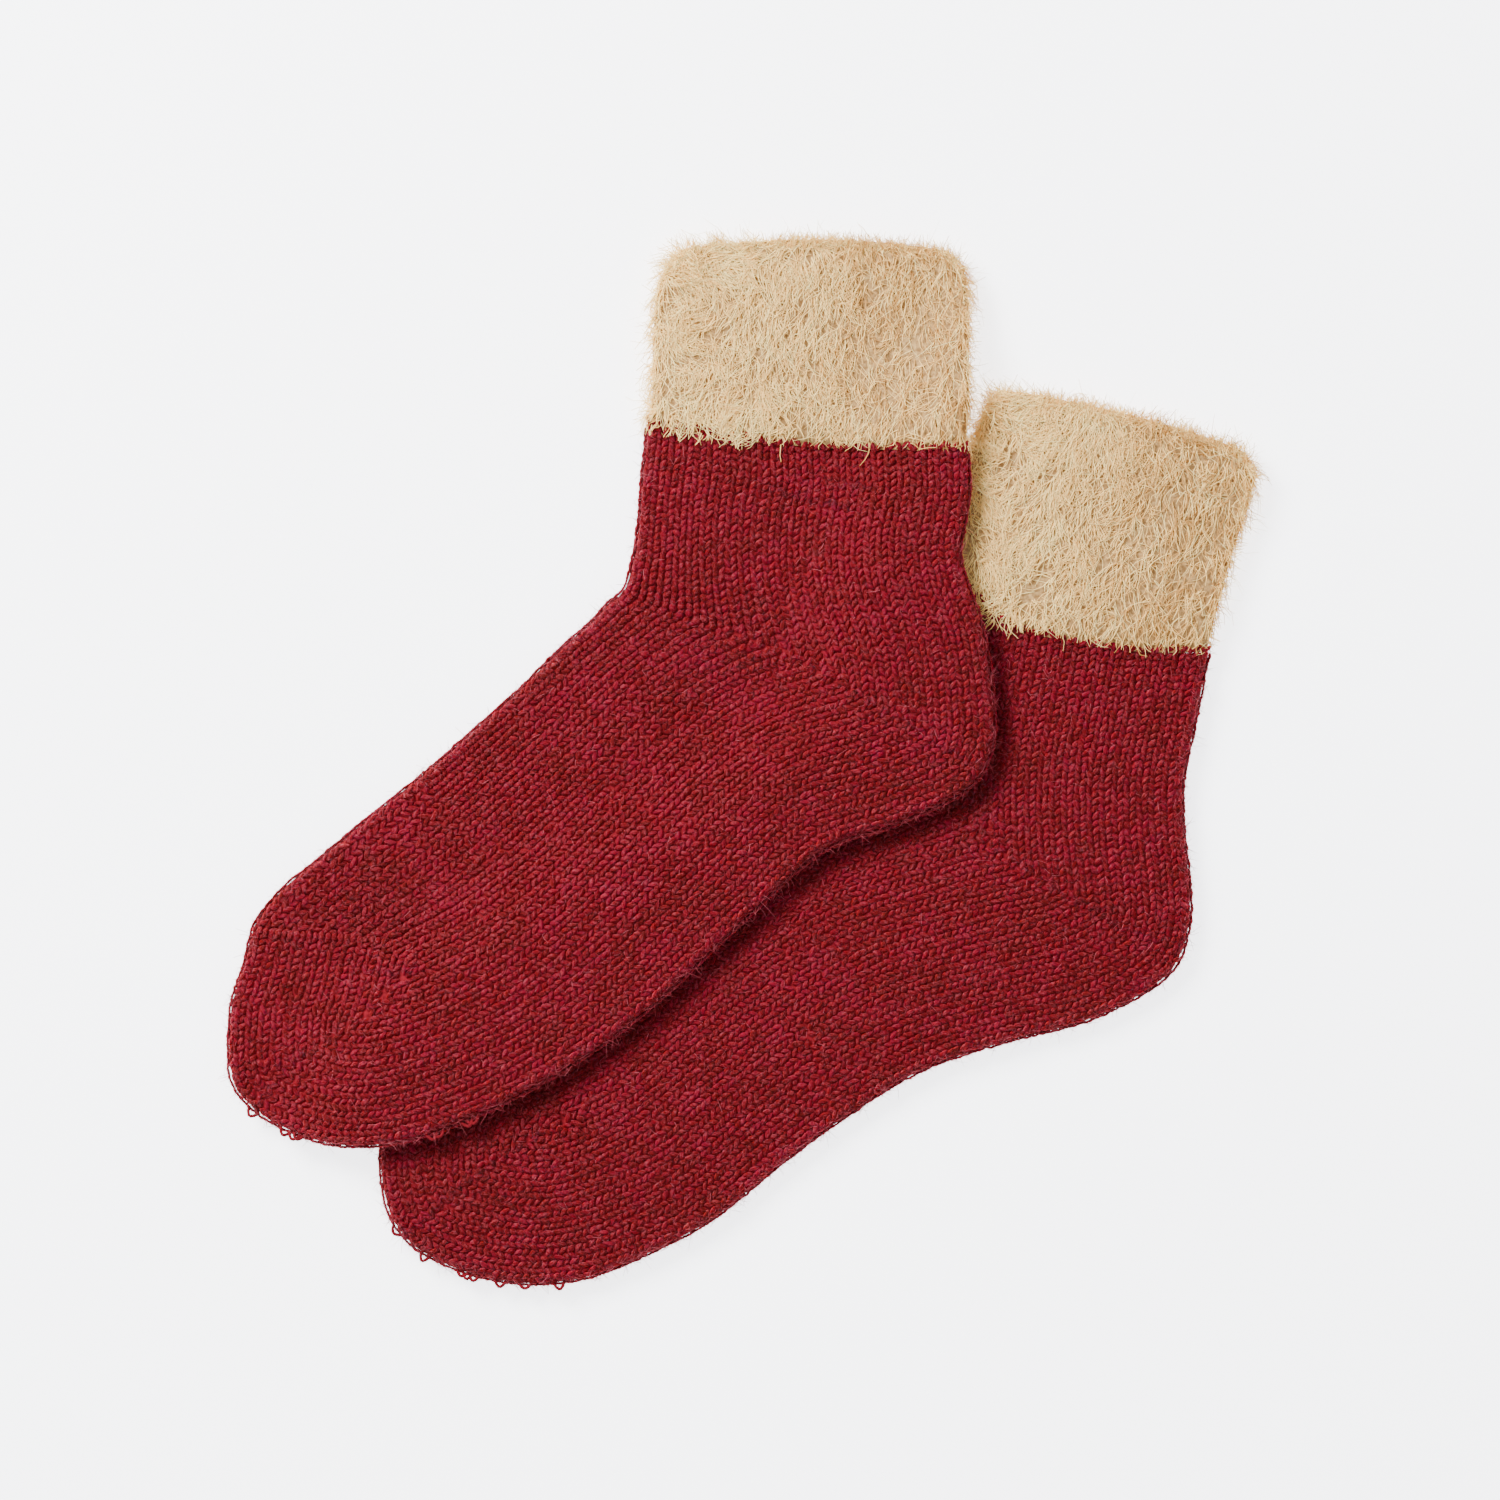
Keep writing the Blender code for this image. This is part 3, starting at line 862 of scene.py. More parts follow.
    def filled(self, found: Stitches) -> Stitches:
        """The stitches with more of them where a mitre or the seam leaves the ground bare."""
        outline = self.form.outline(self.form.last)
        low, high = outline.min(axis=0), outline.max(axis=0)
        lines = np.meshgrid(np.arange(low[0], high[0], FILL_PITCH), np.arange(low[1], high[1], FILL_PITCH))
        spots = np.column_stack([line.ravel() for line in lines])
        spots = spots[(depth_inside(spots, outline) > FILL_MARGIN) & (depth_inside(spots, self.cuff) < -1.0)]
        added: list[np.ndarray] = []
        beside: list[int] = []
        for spot in spots:
            away = np.linalg.norm(found.plan - spot, axis=1)
            clear = all(np.linalg.norm(other - spot) > BARE_REACH for other in added)
            if away.min() > BARE_REACH and clear:
                added.append(spot)
                beside.append(int(away.argmin()))
        if not added:
            return found
        return Stitches.joined([found, Stitches(np.array(added), found.heading[beside], found.fit[beside])])

    def seam_loops(self) -> Stitches:
        """Single loops that close the toe, side by side along the seam."""
        runs = np.arange(self.wale / 2.0, run_lengths(self.seam)[-1], self.wale / 2.0)
        plan = read_along(self.seam, runs)
        along = unit(read_along(self.seam, runs + 1.0) - read_along(self.seam, runs - 1.0))
        heading = np.column_stack([along[:, 1], -along[:, 0]])
        return Stitches(plan, heading, np.ones((len(plan), 2)))


def new_tree(name: str, sizes: Mapping[str, float], counts: Mapping[str, int]) -> bpy.types.NodeTree:
    """Starts a geometry tree with named inputs.

    Args:
        name: The tree's name.
        sizes: Name and default of each number that isn't a count.
        counts: Name and default of each whole number.

    Returns:
        A tree with a geometry input and output, a material input, and the named inputs.
    """
    tree = bpy.data.node_groups.new(name, "GeometryNodeTree")
    tree.interface.new_socket("Geometry", in_out="INPUT", socket_type="NodeSocketGeometry")
    tree.interface.new_socket("Material", in_out="INPUT", socket_type="NodeSocketMaterial")
    for kind, inputs in (("NodeSocketFloat", sizes), ("NodeSocketInt", counts)):
        for label, value in inputs.items():
            tree.interface.new_socket(label, in_out="INPUT", socket_type=kind).default_value = value
    tree.interface.new_socket("Geometry", in_out="OUTPUT", socket_type="NodeSocketGeometry")
    return tree


def end_tree(tree: bpy.types.NodeTree, made: bpy.types.NodeSocket, material: bpy.types.NodeSocket) -> None:
    """Ends a geometry tree: realized, smooth and with its material.

    Args:
        tree: The tree.
        made: The geometry so far.
        material: The material input.
    """
    real = add_node(tree, "GeometryNodeRealizeInstances", {"Geometry": made}).outputs[0]
    smooth = add_node(tree, "GeometryNodeSetShadeSmooth", {"Geometry": real}).outputs[0]
    dressed = add_node(tree, "GeometryNodeSetMaterial", {"Geometry": smooth, "Material": material}).outputs[0]
    add_node(tree, "NodeGroupOutput", {"Geometry": dressed})


def stitch_tree() -> bpy.types.NodeTree:
    """A tree that lays one leg of a stitch, a short bent length of yarn, on each point.

    Returns:
        The tree. It reads the points' along, facing and fit attributes, and stores lay, a place in the leg.
    """
    sizes = {"Leg Length": 0.0, "Leg Width": 0.0, "Leg Thickness": 0.0, "Dip": 0.0}
    tree = new_tree("legs_on_points", sizes, {"Segments": 4, "Rings": 4})
    given = add_node(tree, "NodeGroupInput").outputs
    ball = add_node(
        tree,
        "GeometryNodeMeshUVSphere",
        {"Segments": given["Segments"], "Rings": given["Rings"], "Radius": 1.0},
    )
    grain = add_node(
        tree,
        "GeometryNodeTransform",
        {"Geometry": ball.outputs["Mesh"], "Rotation": (-math.pi / 2.0, 0.0, 0.0)},
    ).outputs[0]
    place = add_node(tree, "GeometryNodeInputPosition").outputs[0]
    marked = add_node(
        tree,
        "GeometryNodeStoreNamedAttribute",
        {"Geometry": grain, "Name": "lay", "Value": place},
        data_type="FLOAT_VECTOR",
        domain="POINT",
    ).outputs[0]
    size = add_node(
        tree,
        "ShaderNodeCombineXYZ",
        {0: given["Leg Width"], 1: given["Leg Length"], 2: given["Leg Thickness"]},
    ).outputs[0]
    half = add_node(tree, "ShaderNodeVectorMath", {0: size, "Scale": 0.5}, operation="SCALE").outputs[0]
    plain = add_node(tree, "ShaderNodeVectorMath", {0: place, 1: half}, operation="MULTIPLY").outputs[0]
    reach = add_node(tree, "ShaderNodeSeparateXYZ", {0: place}).outputs["Y"]
    squared = add_node(tree, "ShaderNodeMath", {0: reach, 1: reach}, operation="MULTIPLY").outputs[0]
    fall = add_node(tree, "ShaderNodeMath", {0: squared, 1: given["Dip"]}, operation="MULTIPLY").outputs[0]
    drop = add_node(tree, "ShaderNodeMath", {0: fall, 1: -1.0}, operation="MULTIPLY").outputs[0]
    shift = add_node(tree, "ShaderNodeCombineXYZ", {2: drop}).outputs[0]
    moved = add_node(tree, "ShaderNodeVectorMath", {0: plain, 1: shift}, operation="ADD").outputs[0]
    leg = add_node(tree, "GeometryNodeSetPosition", {"Geometry": marked, "Position": moved}).outputs[0]
    read = {
        name: add_node(
            tree, "GeometryNodeInputNamedAttribute", {"Name": name}, data_type="FLOAT_VECTOR"
        ).outputs["Attribute"]
        for name in ("along", "facing", "fit")
    }
    turn = add_node(
        tree,
        "FunctionNodeAxesToRotation",
        {0: read["facing"], 1: read["along"]},
        primary_axis="Z",
        secondary_axis="Y",
    ).outputs[0]
    laid = add_node(
        tree,
        "GeometryNodeInstanceOnPoints",
        {"Points": given["Geometry"], "Instance": leg, "Rotation": turn, "Scale": read["fit"]},
    ).outputs[0]
    end_tree(tree, laid, given["Material"])
    return tree


def fibre_tree() -> bpy.types.NodeTree:
    """A tree that grows one tapered, bent fibre from each point.

    Returns:
        The tree. It reads the points' root, start, sweep and thick attributes.
    """
    tree = new_tree("fibres_on_points", {"Curl": 0.0, "Taper": 0.7}, {"Points": 4, "Sides": 3, "Seed": SEED})
    given = add_node(tree, "NodeGroupInput").outputs
    way = add_node(
        tree,
        "FunctionNodeRandomValue",
        {"Min": (-1.0, -1.0, -0.3), "Max": (1.0, 1.0, 0.3), "Seed": given["Seed"]},
        data_type="FLOAT_VECTOR",
    ).outputs[0]
    rooted = add_node(
        tree,
        "GeometryNodeStoreNamedAttribute",
        {"Geometry": given["Geometry"], "Name": "curl_way", "Value": way},
        data_type="FLOAT_VECTOR",
        domain="POINT",
    ).outputs[0]
    stem = add_node(tree, "GeometryNodeCurvePrimitiveLine", {"End": (0.0, 0.0, 1.0)}).outputs[0]
    stem = add_node(tree, "GeometryNodeResampleCurve", {"Curve": stem, "Count": given["Points"]}).outputs[0]
    stems = add_node(tree, "GeometryNodeInstanceOnPoints", {"Points": rooted, "Instance": stem}).outputs[0]
    stems = add_node(tree, "GeometryNodeRealizeInstances", {"Geometry": stems}).outputs[0]
    share = add_node(tree, "GeometryNodeSplineParameter").outputs["Factor"]
    squared = add_node(tree, "ShaderNodeMath", {0: share, 1: share}, operation="MULTIPLY").outputs[0]
    late = add_node(tree, "ShaderNodeMath", {0: 1.5, 1: share}, operation="SUBTRACT").outputs[0]
    bend = add_node(tree, "ShaderNodeMath", {0: squared, 1: late}, operation="MULTIPLY").outputs[0]
    bend = add_node(tree, "ShaderNodeMath", {0: bend, 1: given["Curl"]}, operation="MULTIPLY").outputs[0]
    place = add_node(
        tree, "GeometryNodeInputNamedAttribute", {"Name": "root"}, data_type="FLOAT_VECTOR"
    ).outputs["Attribute"]
    for name, factor in (("start", share), ("sweep", squared), ("curl_way", bend)):
        read = add_node(
            tree, "GeometryNodeInputNamedAttribute", {"Name": name}, data_type="FLOAT_VECTOR"
        ).outputs["Attribute"]
        part = add_node(
            tree, "ShaderNodeVectorMath", {0: read, "Scale": factor}, operation="SCALE"
        ).outputs[0]
        place = add_node(tree, "ShaderNodeVectorMath", {0: place, 1: part}, operation="ADD").outputs[0]
    bent = add_node(tree, "GeometryNodeSetPosition", {"Geometry": stems, "Position": place}).outputs[0]
    thick = add_node(
        tree, "GeometryNodeInputNamedAttribute", {"Name": "thick"}, data_type="FLOAT"
    ).outputs["Attribute"]
    loss = add_node(tree, "ShaderNodeMath", {0: share, 1: given["Taper"]}, operation="MULTIPLY").outputs[0]
    left = add_node(tree, "ShaderNodeMath", {0: 1.0, 1: loss}, operation="SUBTRACT").outputs[0]
    radius = add_node(tree, "ShaderNodeMath", {0: thick, 1: left}, operation="MULTIPLY").outputs[0]
    ring = add_node(
        tree, "GeometryNodeCurvePrimitiveCircle", {"Resolution": given["Sides"], "Radius": 1.0}
    ).outputs[0]
    solid = add_node(
        tree,
        "GeometryNodeCurveToMesh",
        {"Curve": bent, "Profile Curve": ring, "Scale": radius, "Fill Caps": True},
    ).outputs[0]
    end_tree(tree, solid, given["Material"])
    return tree


def new_object(name: str, mesh: bpy.types.Mesh) -> bpy.types.Object:
    """An object for a mesh, linked to the scene."""
    made = bpy.data.objects.new(name, mesh)
    bpy.context.scene.collection.objects.link(made)
    return made


def grown(
    name: str,
    tree: bpy.types.NodeTree,
    inputs: Mapping[str, Any],
    places: np.ndarray,
    attributes: Mapping[str, np.ndarray],
) -> bpy.types.Object:
    """Runs a tree on points and keeps the result as a plain mesh.

    Args:
        name: The piece's name.
        tree: The geometry tree.
        inputs: A value for each named input.
        places: The points, in millimetres.
        attributes: Numbers or vectors for each point, already in the tree's units.

    Returns:
        The piece, with its modifier removed.
    """
    cloud = bpy.data.meshes.new(name)
    cloud.vertices.add(len(places))
    cloud.vertices.foreach_set("co", (places * MM).astype(np.float32).ravel())
    for label, values in attributes.items():
        kind, slot = ("FLOAT_VECTOR", "vector") if values.ndim == 2 else ("FLOAT", "value")
        layer = cloud.attributes.new(label, kind, "POINT")
        layer.data.foreach_set(slot, values.astype(np.float32).ravel())
    piece = new_object(name, cloud)
    modifier = piece.modifiers.new("growth", "NODES")
    modifier.node_group = tree
    for item in tree.interface.items_tree:
        if item.item_type == "SOCKET" and item.in_out == "INPUT" and item.name in inputs:
            modifier[item.identifier] = inputs[item.name]
    evaluated = piece.evaluated_get(bpy.context.evaluated_depsgraph_get())
    mesh = bpy.data.meshes.new_from_object(evaluated)
    piece.modifiers.remove(modifier)
    piece.data = mesh
    bpy.data.meshes.remove(cloud)
    mesh.name = name
    for label in ("along", "facing", "fit", "root", "start", "sweep", "thick", "curl_way"):
        if label in mesh.attributes:
            mesh.attributes.remove(mesh.attributes[label])
    return piece


def fibre_values(places: np.ndarray, start: np.ndarray, sweep: np.ndarray) -> dict[str, np.ndarray]:
    """What the fibre tree reads of each fibre's path, kept above the surface that the socks lie on.

    Args:
        places: Roots in millimetres.
        start: Where each fibre would end if it ran on as it starts, from its root.
        sweep: How far it bends away from there by its tip.

    Returns:
        The root, start and sweep attributes in metres.
    """
    start, sweep = start.copy(), sweep.copy()
    start[:, 2] = np.maximum(start[:, 2], FIBRE_FLOOR - places[:, 2])
    sweep[:, 2] = np.maximum(sweep[:, 2], FIBRE_FLOOR - places[:, 2] - start[:, 2])
    return {"root": places * MM, "start": start * MM, "sweep": sweep * MM}


def triangle_count(piece: bpy.types.Object) -> int:
    """How many triangles a piece's mesh has."""
    piece.data.calc_loop_triangles()
    return len(piece.data.loop_triangles)


def plain_material(name: str) -> tuple[bpy.types.Material, bpy.types.NodeTree, bpy.types.Node]:
    """A new material, its tree and its Principled shader."""
    material = bpy.data.materials.new(name)
    material.use_nodes = True
    tree = material.node_tree
    return material, tree, tree.nodes["Principled BSDF"]


def set_sockets(shader: bpy.types.Node, values: Mapping[str, Any]) -> None:
    """Sets constants on a shader's own sockets."""
    for name, value in values.items():
        shader.inputs[name].default_value = value


def stray_fibres(
    tree: bpy.types.NodeTree, place: bpy.types.NodeSocket, pitch: float, width: float
) -> bpy.types.NodeSocket:
    """Thin curling lines, as single loose fibres make where they lie over knitting.

    Args:
        tree: The material's tree.
        place: Where each point is.
        pitch: About how far apart the lines are, in millimetres.
        width: Half of a line's width, as a share of the noise that draws it.

    Returns:
        One on a line and zero away from it.
    """
    noise = add_node(
        tree,
        "ShaderNodeTexNoise",
        {"Vector": place, "Scale": 1.0 / (pitch * MM), "Detail": 1.0, "Distortion": 0.8},
    ).outputs[0]
    centred = add_node(tree, "ShaderNodeMath", {0: noise, 1: 0.5}, operation="SUBTRACT").outputs[0]
    away = add_node(tree, "ShaderNodeMath", {0: centred}, operation="ABSOLUTE").outputs[0]
    shown = {"Value": away, "From Max": width, "To Min": 1.0, "To Max": 0.0}
    return add_node(tree, "ShaderNodeMapRange", shown).outputs[0]


@dataclass(frozen=True)
class MarledWool:
    """Bulky wool yarn, spun from two shades and knitted, then lightly hairy from wear.

    Light sinks between the stitches and comes back redder, and the loose fibres give a soft pink edge.

    Attributes:
        name: The material's name.
        brick: The browner of the two plies.
        red: Where the plies mix.
        crimson: The pinker of the two plies.
        pale: Painted highlight, lighter streaks where single fibres would catch the light.
        stray: Single loose fibres over the stitches.
        sheen: Colour of the loose fibres' edge.
        haze: How strongly the loose fibres show.
    """

    name: str = "marled_wool_yarn"
    brick: str = "#470C0B"
    red: str = "#54060D"
    crimson: str = "#68081E"
    pale: str = "#76212C"
    stray: str = "#86323B"
    sheen: str = "#D2383F"
    haze: float = 0.5

    def build(self) -> bpy.types.Material:
        """The material, with its marl in patches, from leg to leg and along the fibres."""
        material, tree, shader = plain_material(self.name)
        place = add_node(tree, "ShaderNodeTexCoord").outputs["Object"]
        # Patches of one shade run through 3 or 4 stitches, about 11 mm, before the marl turns
        patches = add_node(
            tree, "ShaderNodeTexNoise", {"Vector": place, "Scale": 1.0 / (11.0 * MM), "Detail": 2.0}
        ).outputs[0]
        tone = add_node(tree, "ShaderNodeAttribute", attribute_name="tone").outputs["Fac"]
        lay = add_node(tree, "ShaderNodeAttribute", attribute_name="lay").outputs["Vector"]
        # Fibres run down each leg, about four strands across its 1.6 mm, so they are drawn coarse
        grain = add_node(
            tree, "ShaderNodeVectorMath", {0: lay, 1: (1.7, 0.7, 1.7)}, operation="MULTIPLY"
        ).outputs[0]
        apart = add_node(tree, "ShaderNodeVectorMath", {0: tone, 1: (91.0, 57.0, 33.0)}, operation="MULTIPLY")
        grain = add_node(
            tree, "ShaderNodeVectorMath", {0: grain, 1: apart.outputs[0]}, operation="ADD"
        ).outputs[0]
        strands = add_node(
            tree, "ShaderNodeTexNoise", {"Vector": grain, "Scale": 1.6, "Detail": 2.0}
        ).outputs[0]
        mixed = add_node(
            tree, "ShaderNodeMath", {0: strands, 1: 0.9, 2: patches}, operation="MULTIPLY_ADD"
        ).outputs[0]
        mixed = add_node(
            tree, "ShaderNodeMath", {0: tone, 1: 0.4, 2: mixed}, operation="MULTIPLY_ADD"
        ).outputs[0]
        spread = add_node(
            tree, "ShaderNodeMapRange", {"Value": mixed, "From Min": 0.8, "From Max": 1.5}
        ).outputs[0]
        ramp = add_node(tree, "ShaderNodeValToRGB", {0: spread})
        stops = ramp.color_ramp.elements
        stops[0].color = linear(self.brick)
        stops[1].color = linear(self.crimson)
        stops.new(0.45).color = linear(self.red)
        # Painted highlight: the pale colour is mixed in where the strand noise is high, standing in for
        # fibres that catch the light
        painted_highlight = add_node(
            tree,
            "ShaderNodeMapRange",
            {"Value": strands, "From Min": 0.52, "From Max": 0.75, "To Max": 0.5},
        ).outputs[0]
        colour = add_node(
            tree, "ShaderNodeMixRGB", {"Fac": painted_highlight, "Color1": ramp.outputs[0], "Color2": linear(self.pale)}
        ).outputs[0]
        # Single fibres lie over the stitches about 1.6 mm apart, and show as finer, lighter lines
        fibres = stray_fibres(tree, place, 1.6, 0.06)
        hazed = add_node(tree, "ShaderNodeMath", {0: fibres, 1: self.haze}, operation="MULTIPLY").outputs[0]
        colour = add_node(
            tree, "ShaderNodeMixRGB", {"Fac": hazed, "Color1": colour, "Color2": linear(self.stray)}
        ).outputs[0]
        tree.links.new(colour, shader.inputs["Base Color"])
        bump = add_node(
            tree, "ShaderNodeBump", {"Height": strands, "Strength": 0.7, "Distance": 0.3 * MM}
        ).outputs[0]
        tree.links.new(bump, shader.inputs["Normal"])
        set_sockets(
            shader,
            {
                "Roughness": 0.85,
                "Specular IOR Level": 0.05,
                "Subsurface Weight": 0.85,
                "Subsurface Radius": (1.0, 0.3, 0.25),
                "Subsurface Scale": 2.6 * MM,
                "Sheen Weight": 0.17,
                "Sheen Roughness": 0.5,
                "Sheen Tint": linear(self.sheen),
            },
        )
        return material


@dataclass(frozen=True)
class SpunFibre:
    """Loose fibres or brushed hairs, each with its own shade between two.

    Attributes:
        name: The material's name.
        dark: The darkest fibre.
        middle: Most fibres.
        light: The lightest.
        roughness: How dull they are.
    """

    name: str
    dark: str
    middle: str
    light: str
    roughness: float = 0.7

    def build(self) -> bpy.types.Material:
        """The material, with a shade for each fibre and a slow drift over the cloth."""
        material, tree, shader = plain_material(self.name)
        place = add_node(tree, "ShaderNodeTexCoord").outputs["Object"]
        # The shade also drifts over about 14 mm, as the fleece was dyed unevenly
        drifted = add_node(
            tree, "ShaderNodeTexNoise", {"Vector": place, "Scale": 1.0 / (14.0 * MM), "Detail": 2.0}
        ).outputs[0]
        tone = add_node(tree, "ShaderNodeAttribute", attribute_name="tone").outputs["Fac"]
        mixed = add_node(
            tree, "ShaderNodeMath", {0: drifted, 1: 0.5, 2: tone}, operation="MULTIPLY_ADD"
        ).outputs[0]
        value = add_node(
            tree, "ShaderNodeMapRange", {"Value": mixed, "From Min": 0.2, "From Max": 1.3}
        ).outputs[0]
        ramp = add_node(tree, "ShaderNodeValToRGB", {0: value})
        stops = ramp.color_ramp.elements
        stops[0].color = linear(self.dark)
        stops[1].color = linear(self.light)
        stops.new(0.5).color = linear(self.middle)
        tree.links.new(ramp.outputs[0], shader.inputs["Base Color"])
        set_sockets(shader, {"Roughness": self.roughness, "Specular IOR Level": 0.12, "Sheen Weight": 0.04})
        return material


@dataclass(frozen=True)
class GroundCloth:
    """The knitted cloth under the stitches or hairs, seen only in the gaps.

    Attributes:
        name: The material's name.
        low: Colour of the hollows, darker as painted shade.
        high: Colour of the yarn.
    """

    name: str
    low: str
    high: str

    def build(self) -> bpy.types.Material:
        """The material, with fine uneven yarn."""
        material, tree, shader = plain_material(self.name)
        place = add_node(tree, "ShaderNodeTexCoord").outputs["Object"]
        # Yarn shows through the gaps as specks of about 1.2 mm. The low ends of the same noise are the bump's
        # hollows and get the darker colour, as painted shade
        specks = add_node(
            tree, "ShaderNodeTexNoise", {"Vector": place, "Scale": 1.0 / (1.2 * MM), "Detail": 3.0}
        ).outputs[0]
        ramp = add_node(tree, "ShaderNodeValToRGB", {0: specks})
        stops = ramp.color_ramp.elements
        stops[0].position, stops[0].color = 0.35, linear(self.low)
        stops[1].position, stops[1].color = 0.65, linear(self.high)
        tree.links.new(ramp.outputs[0], shader.inputs["Base Color"])
        bump = add_node(
            tree, "ShaderNodeBump", {"Height": specks, "Strength": 0.6, "Distance": 0.4 * MM}
        ).outputs[0]
        tree.links.new(bump, shader.inputs["Normal"])
        set_sockets(shader, {"Roughness": 0.95, "Specular IOR Level": 0.15})
        return material


def ground_wall(
    name: str, node: str, form: SockForm, wall: float, sink: float, material: bpy.types.Material
) -> bpy.types.Object:
    """A wall of cloth in its solid's form, with the outer face moved in to make room for what covers it.

    Args:
        name: The piece's name.
        node: The solid that it replaces.
        form: The sock that the solid is part of.
        wall: The solid's wall thickness in millimetres.
        sink: How far the outer face moves in, in millimetres.
        material: The piece's material.

    Returns:
        The piece.
    """
    radius = wall + INNER_GAP / 2.0
    tidy = bmesh.new()
    tidy.from_mesh(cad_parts[node].data)
    bmesh.ops.remove_doubles(tidy, verts=tidy.verts, dist=MERGE_REACH * MM)
    mesh = bpy.data.meshes.new(name)
    tidy.to_mesh(mesh)
    tidy.free()
    points = np.array([vertex.co for vertex in mesh.vertices]) / MM
    normals = np.array([vertex.normal for vertex in mesh.vertices])
    plan = points[:, 0:2]
    depth = nearest_on(plan, form.edge)[0]
    over = points[:, 2] - form.lift(plan, Face.UNDER) - radius
    outer = (depth < wall - INNER_GAP / 2.0) | (np.abs(over) > SLIT_REACH)
    for row in (0.0, float(CHANGE_ROW)):
        end, down = form.open_end(row)
        at_end = nearest_on(plan, end)[0] < END_REACH
        level = np.append(down, 0.0)
        normals[at_end] = unit(normals[at_end] - np.outer(normals[at_end] @ level, level))
        if row > 0.0 and wall < CUFF_WALL:
            points[at_end] -= level * CLOSED_SLIT
    edge_share = EDGE_SHARE if wall < CUFF_WALL else 1.0
    less = edge_share + (1.0 - edge_share) * smooth_step(depth / EDGE_BAND)
    for fold in form.folds:
        # The solid's faces are flat across a trough, so its ground needs more room there
        line = np.array([[fold.start_x, fold.start_y], [fold.end_x, fold.end_y]])
        closeness = np.exp(-((nearest_on(plan, line)[0] / fold.half_width) ** 2))
        less = less + max(-fold.height, 0.0) * TROUGH_ROOM * closeness
    points[outer] -= (normals * sink * less[:, None])[outer]
    mesh.vertices.foreach_set("co", (points * MM).ravel())
    mesh.shade_smooth()
    mesh.materials.clear()
    mesh.materials.append(material)
    mesh.update()
    return new_object(name, mesh)


def pieces_ride(pieces: Sequence[bpy.types.Object]) -> None:
    """Puts pieces on the part's one body and logs their triangles."""
    for piece in pieces:
        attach(piece, "root")
        LOG.info("%s: %d triangles", piece.name, triangle_count(piece))


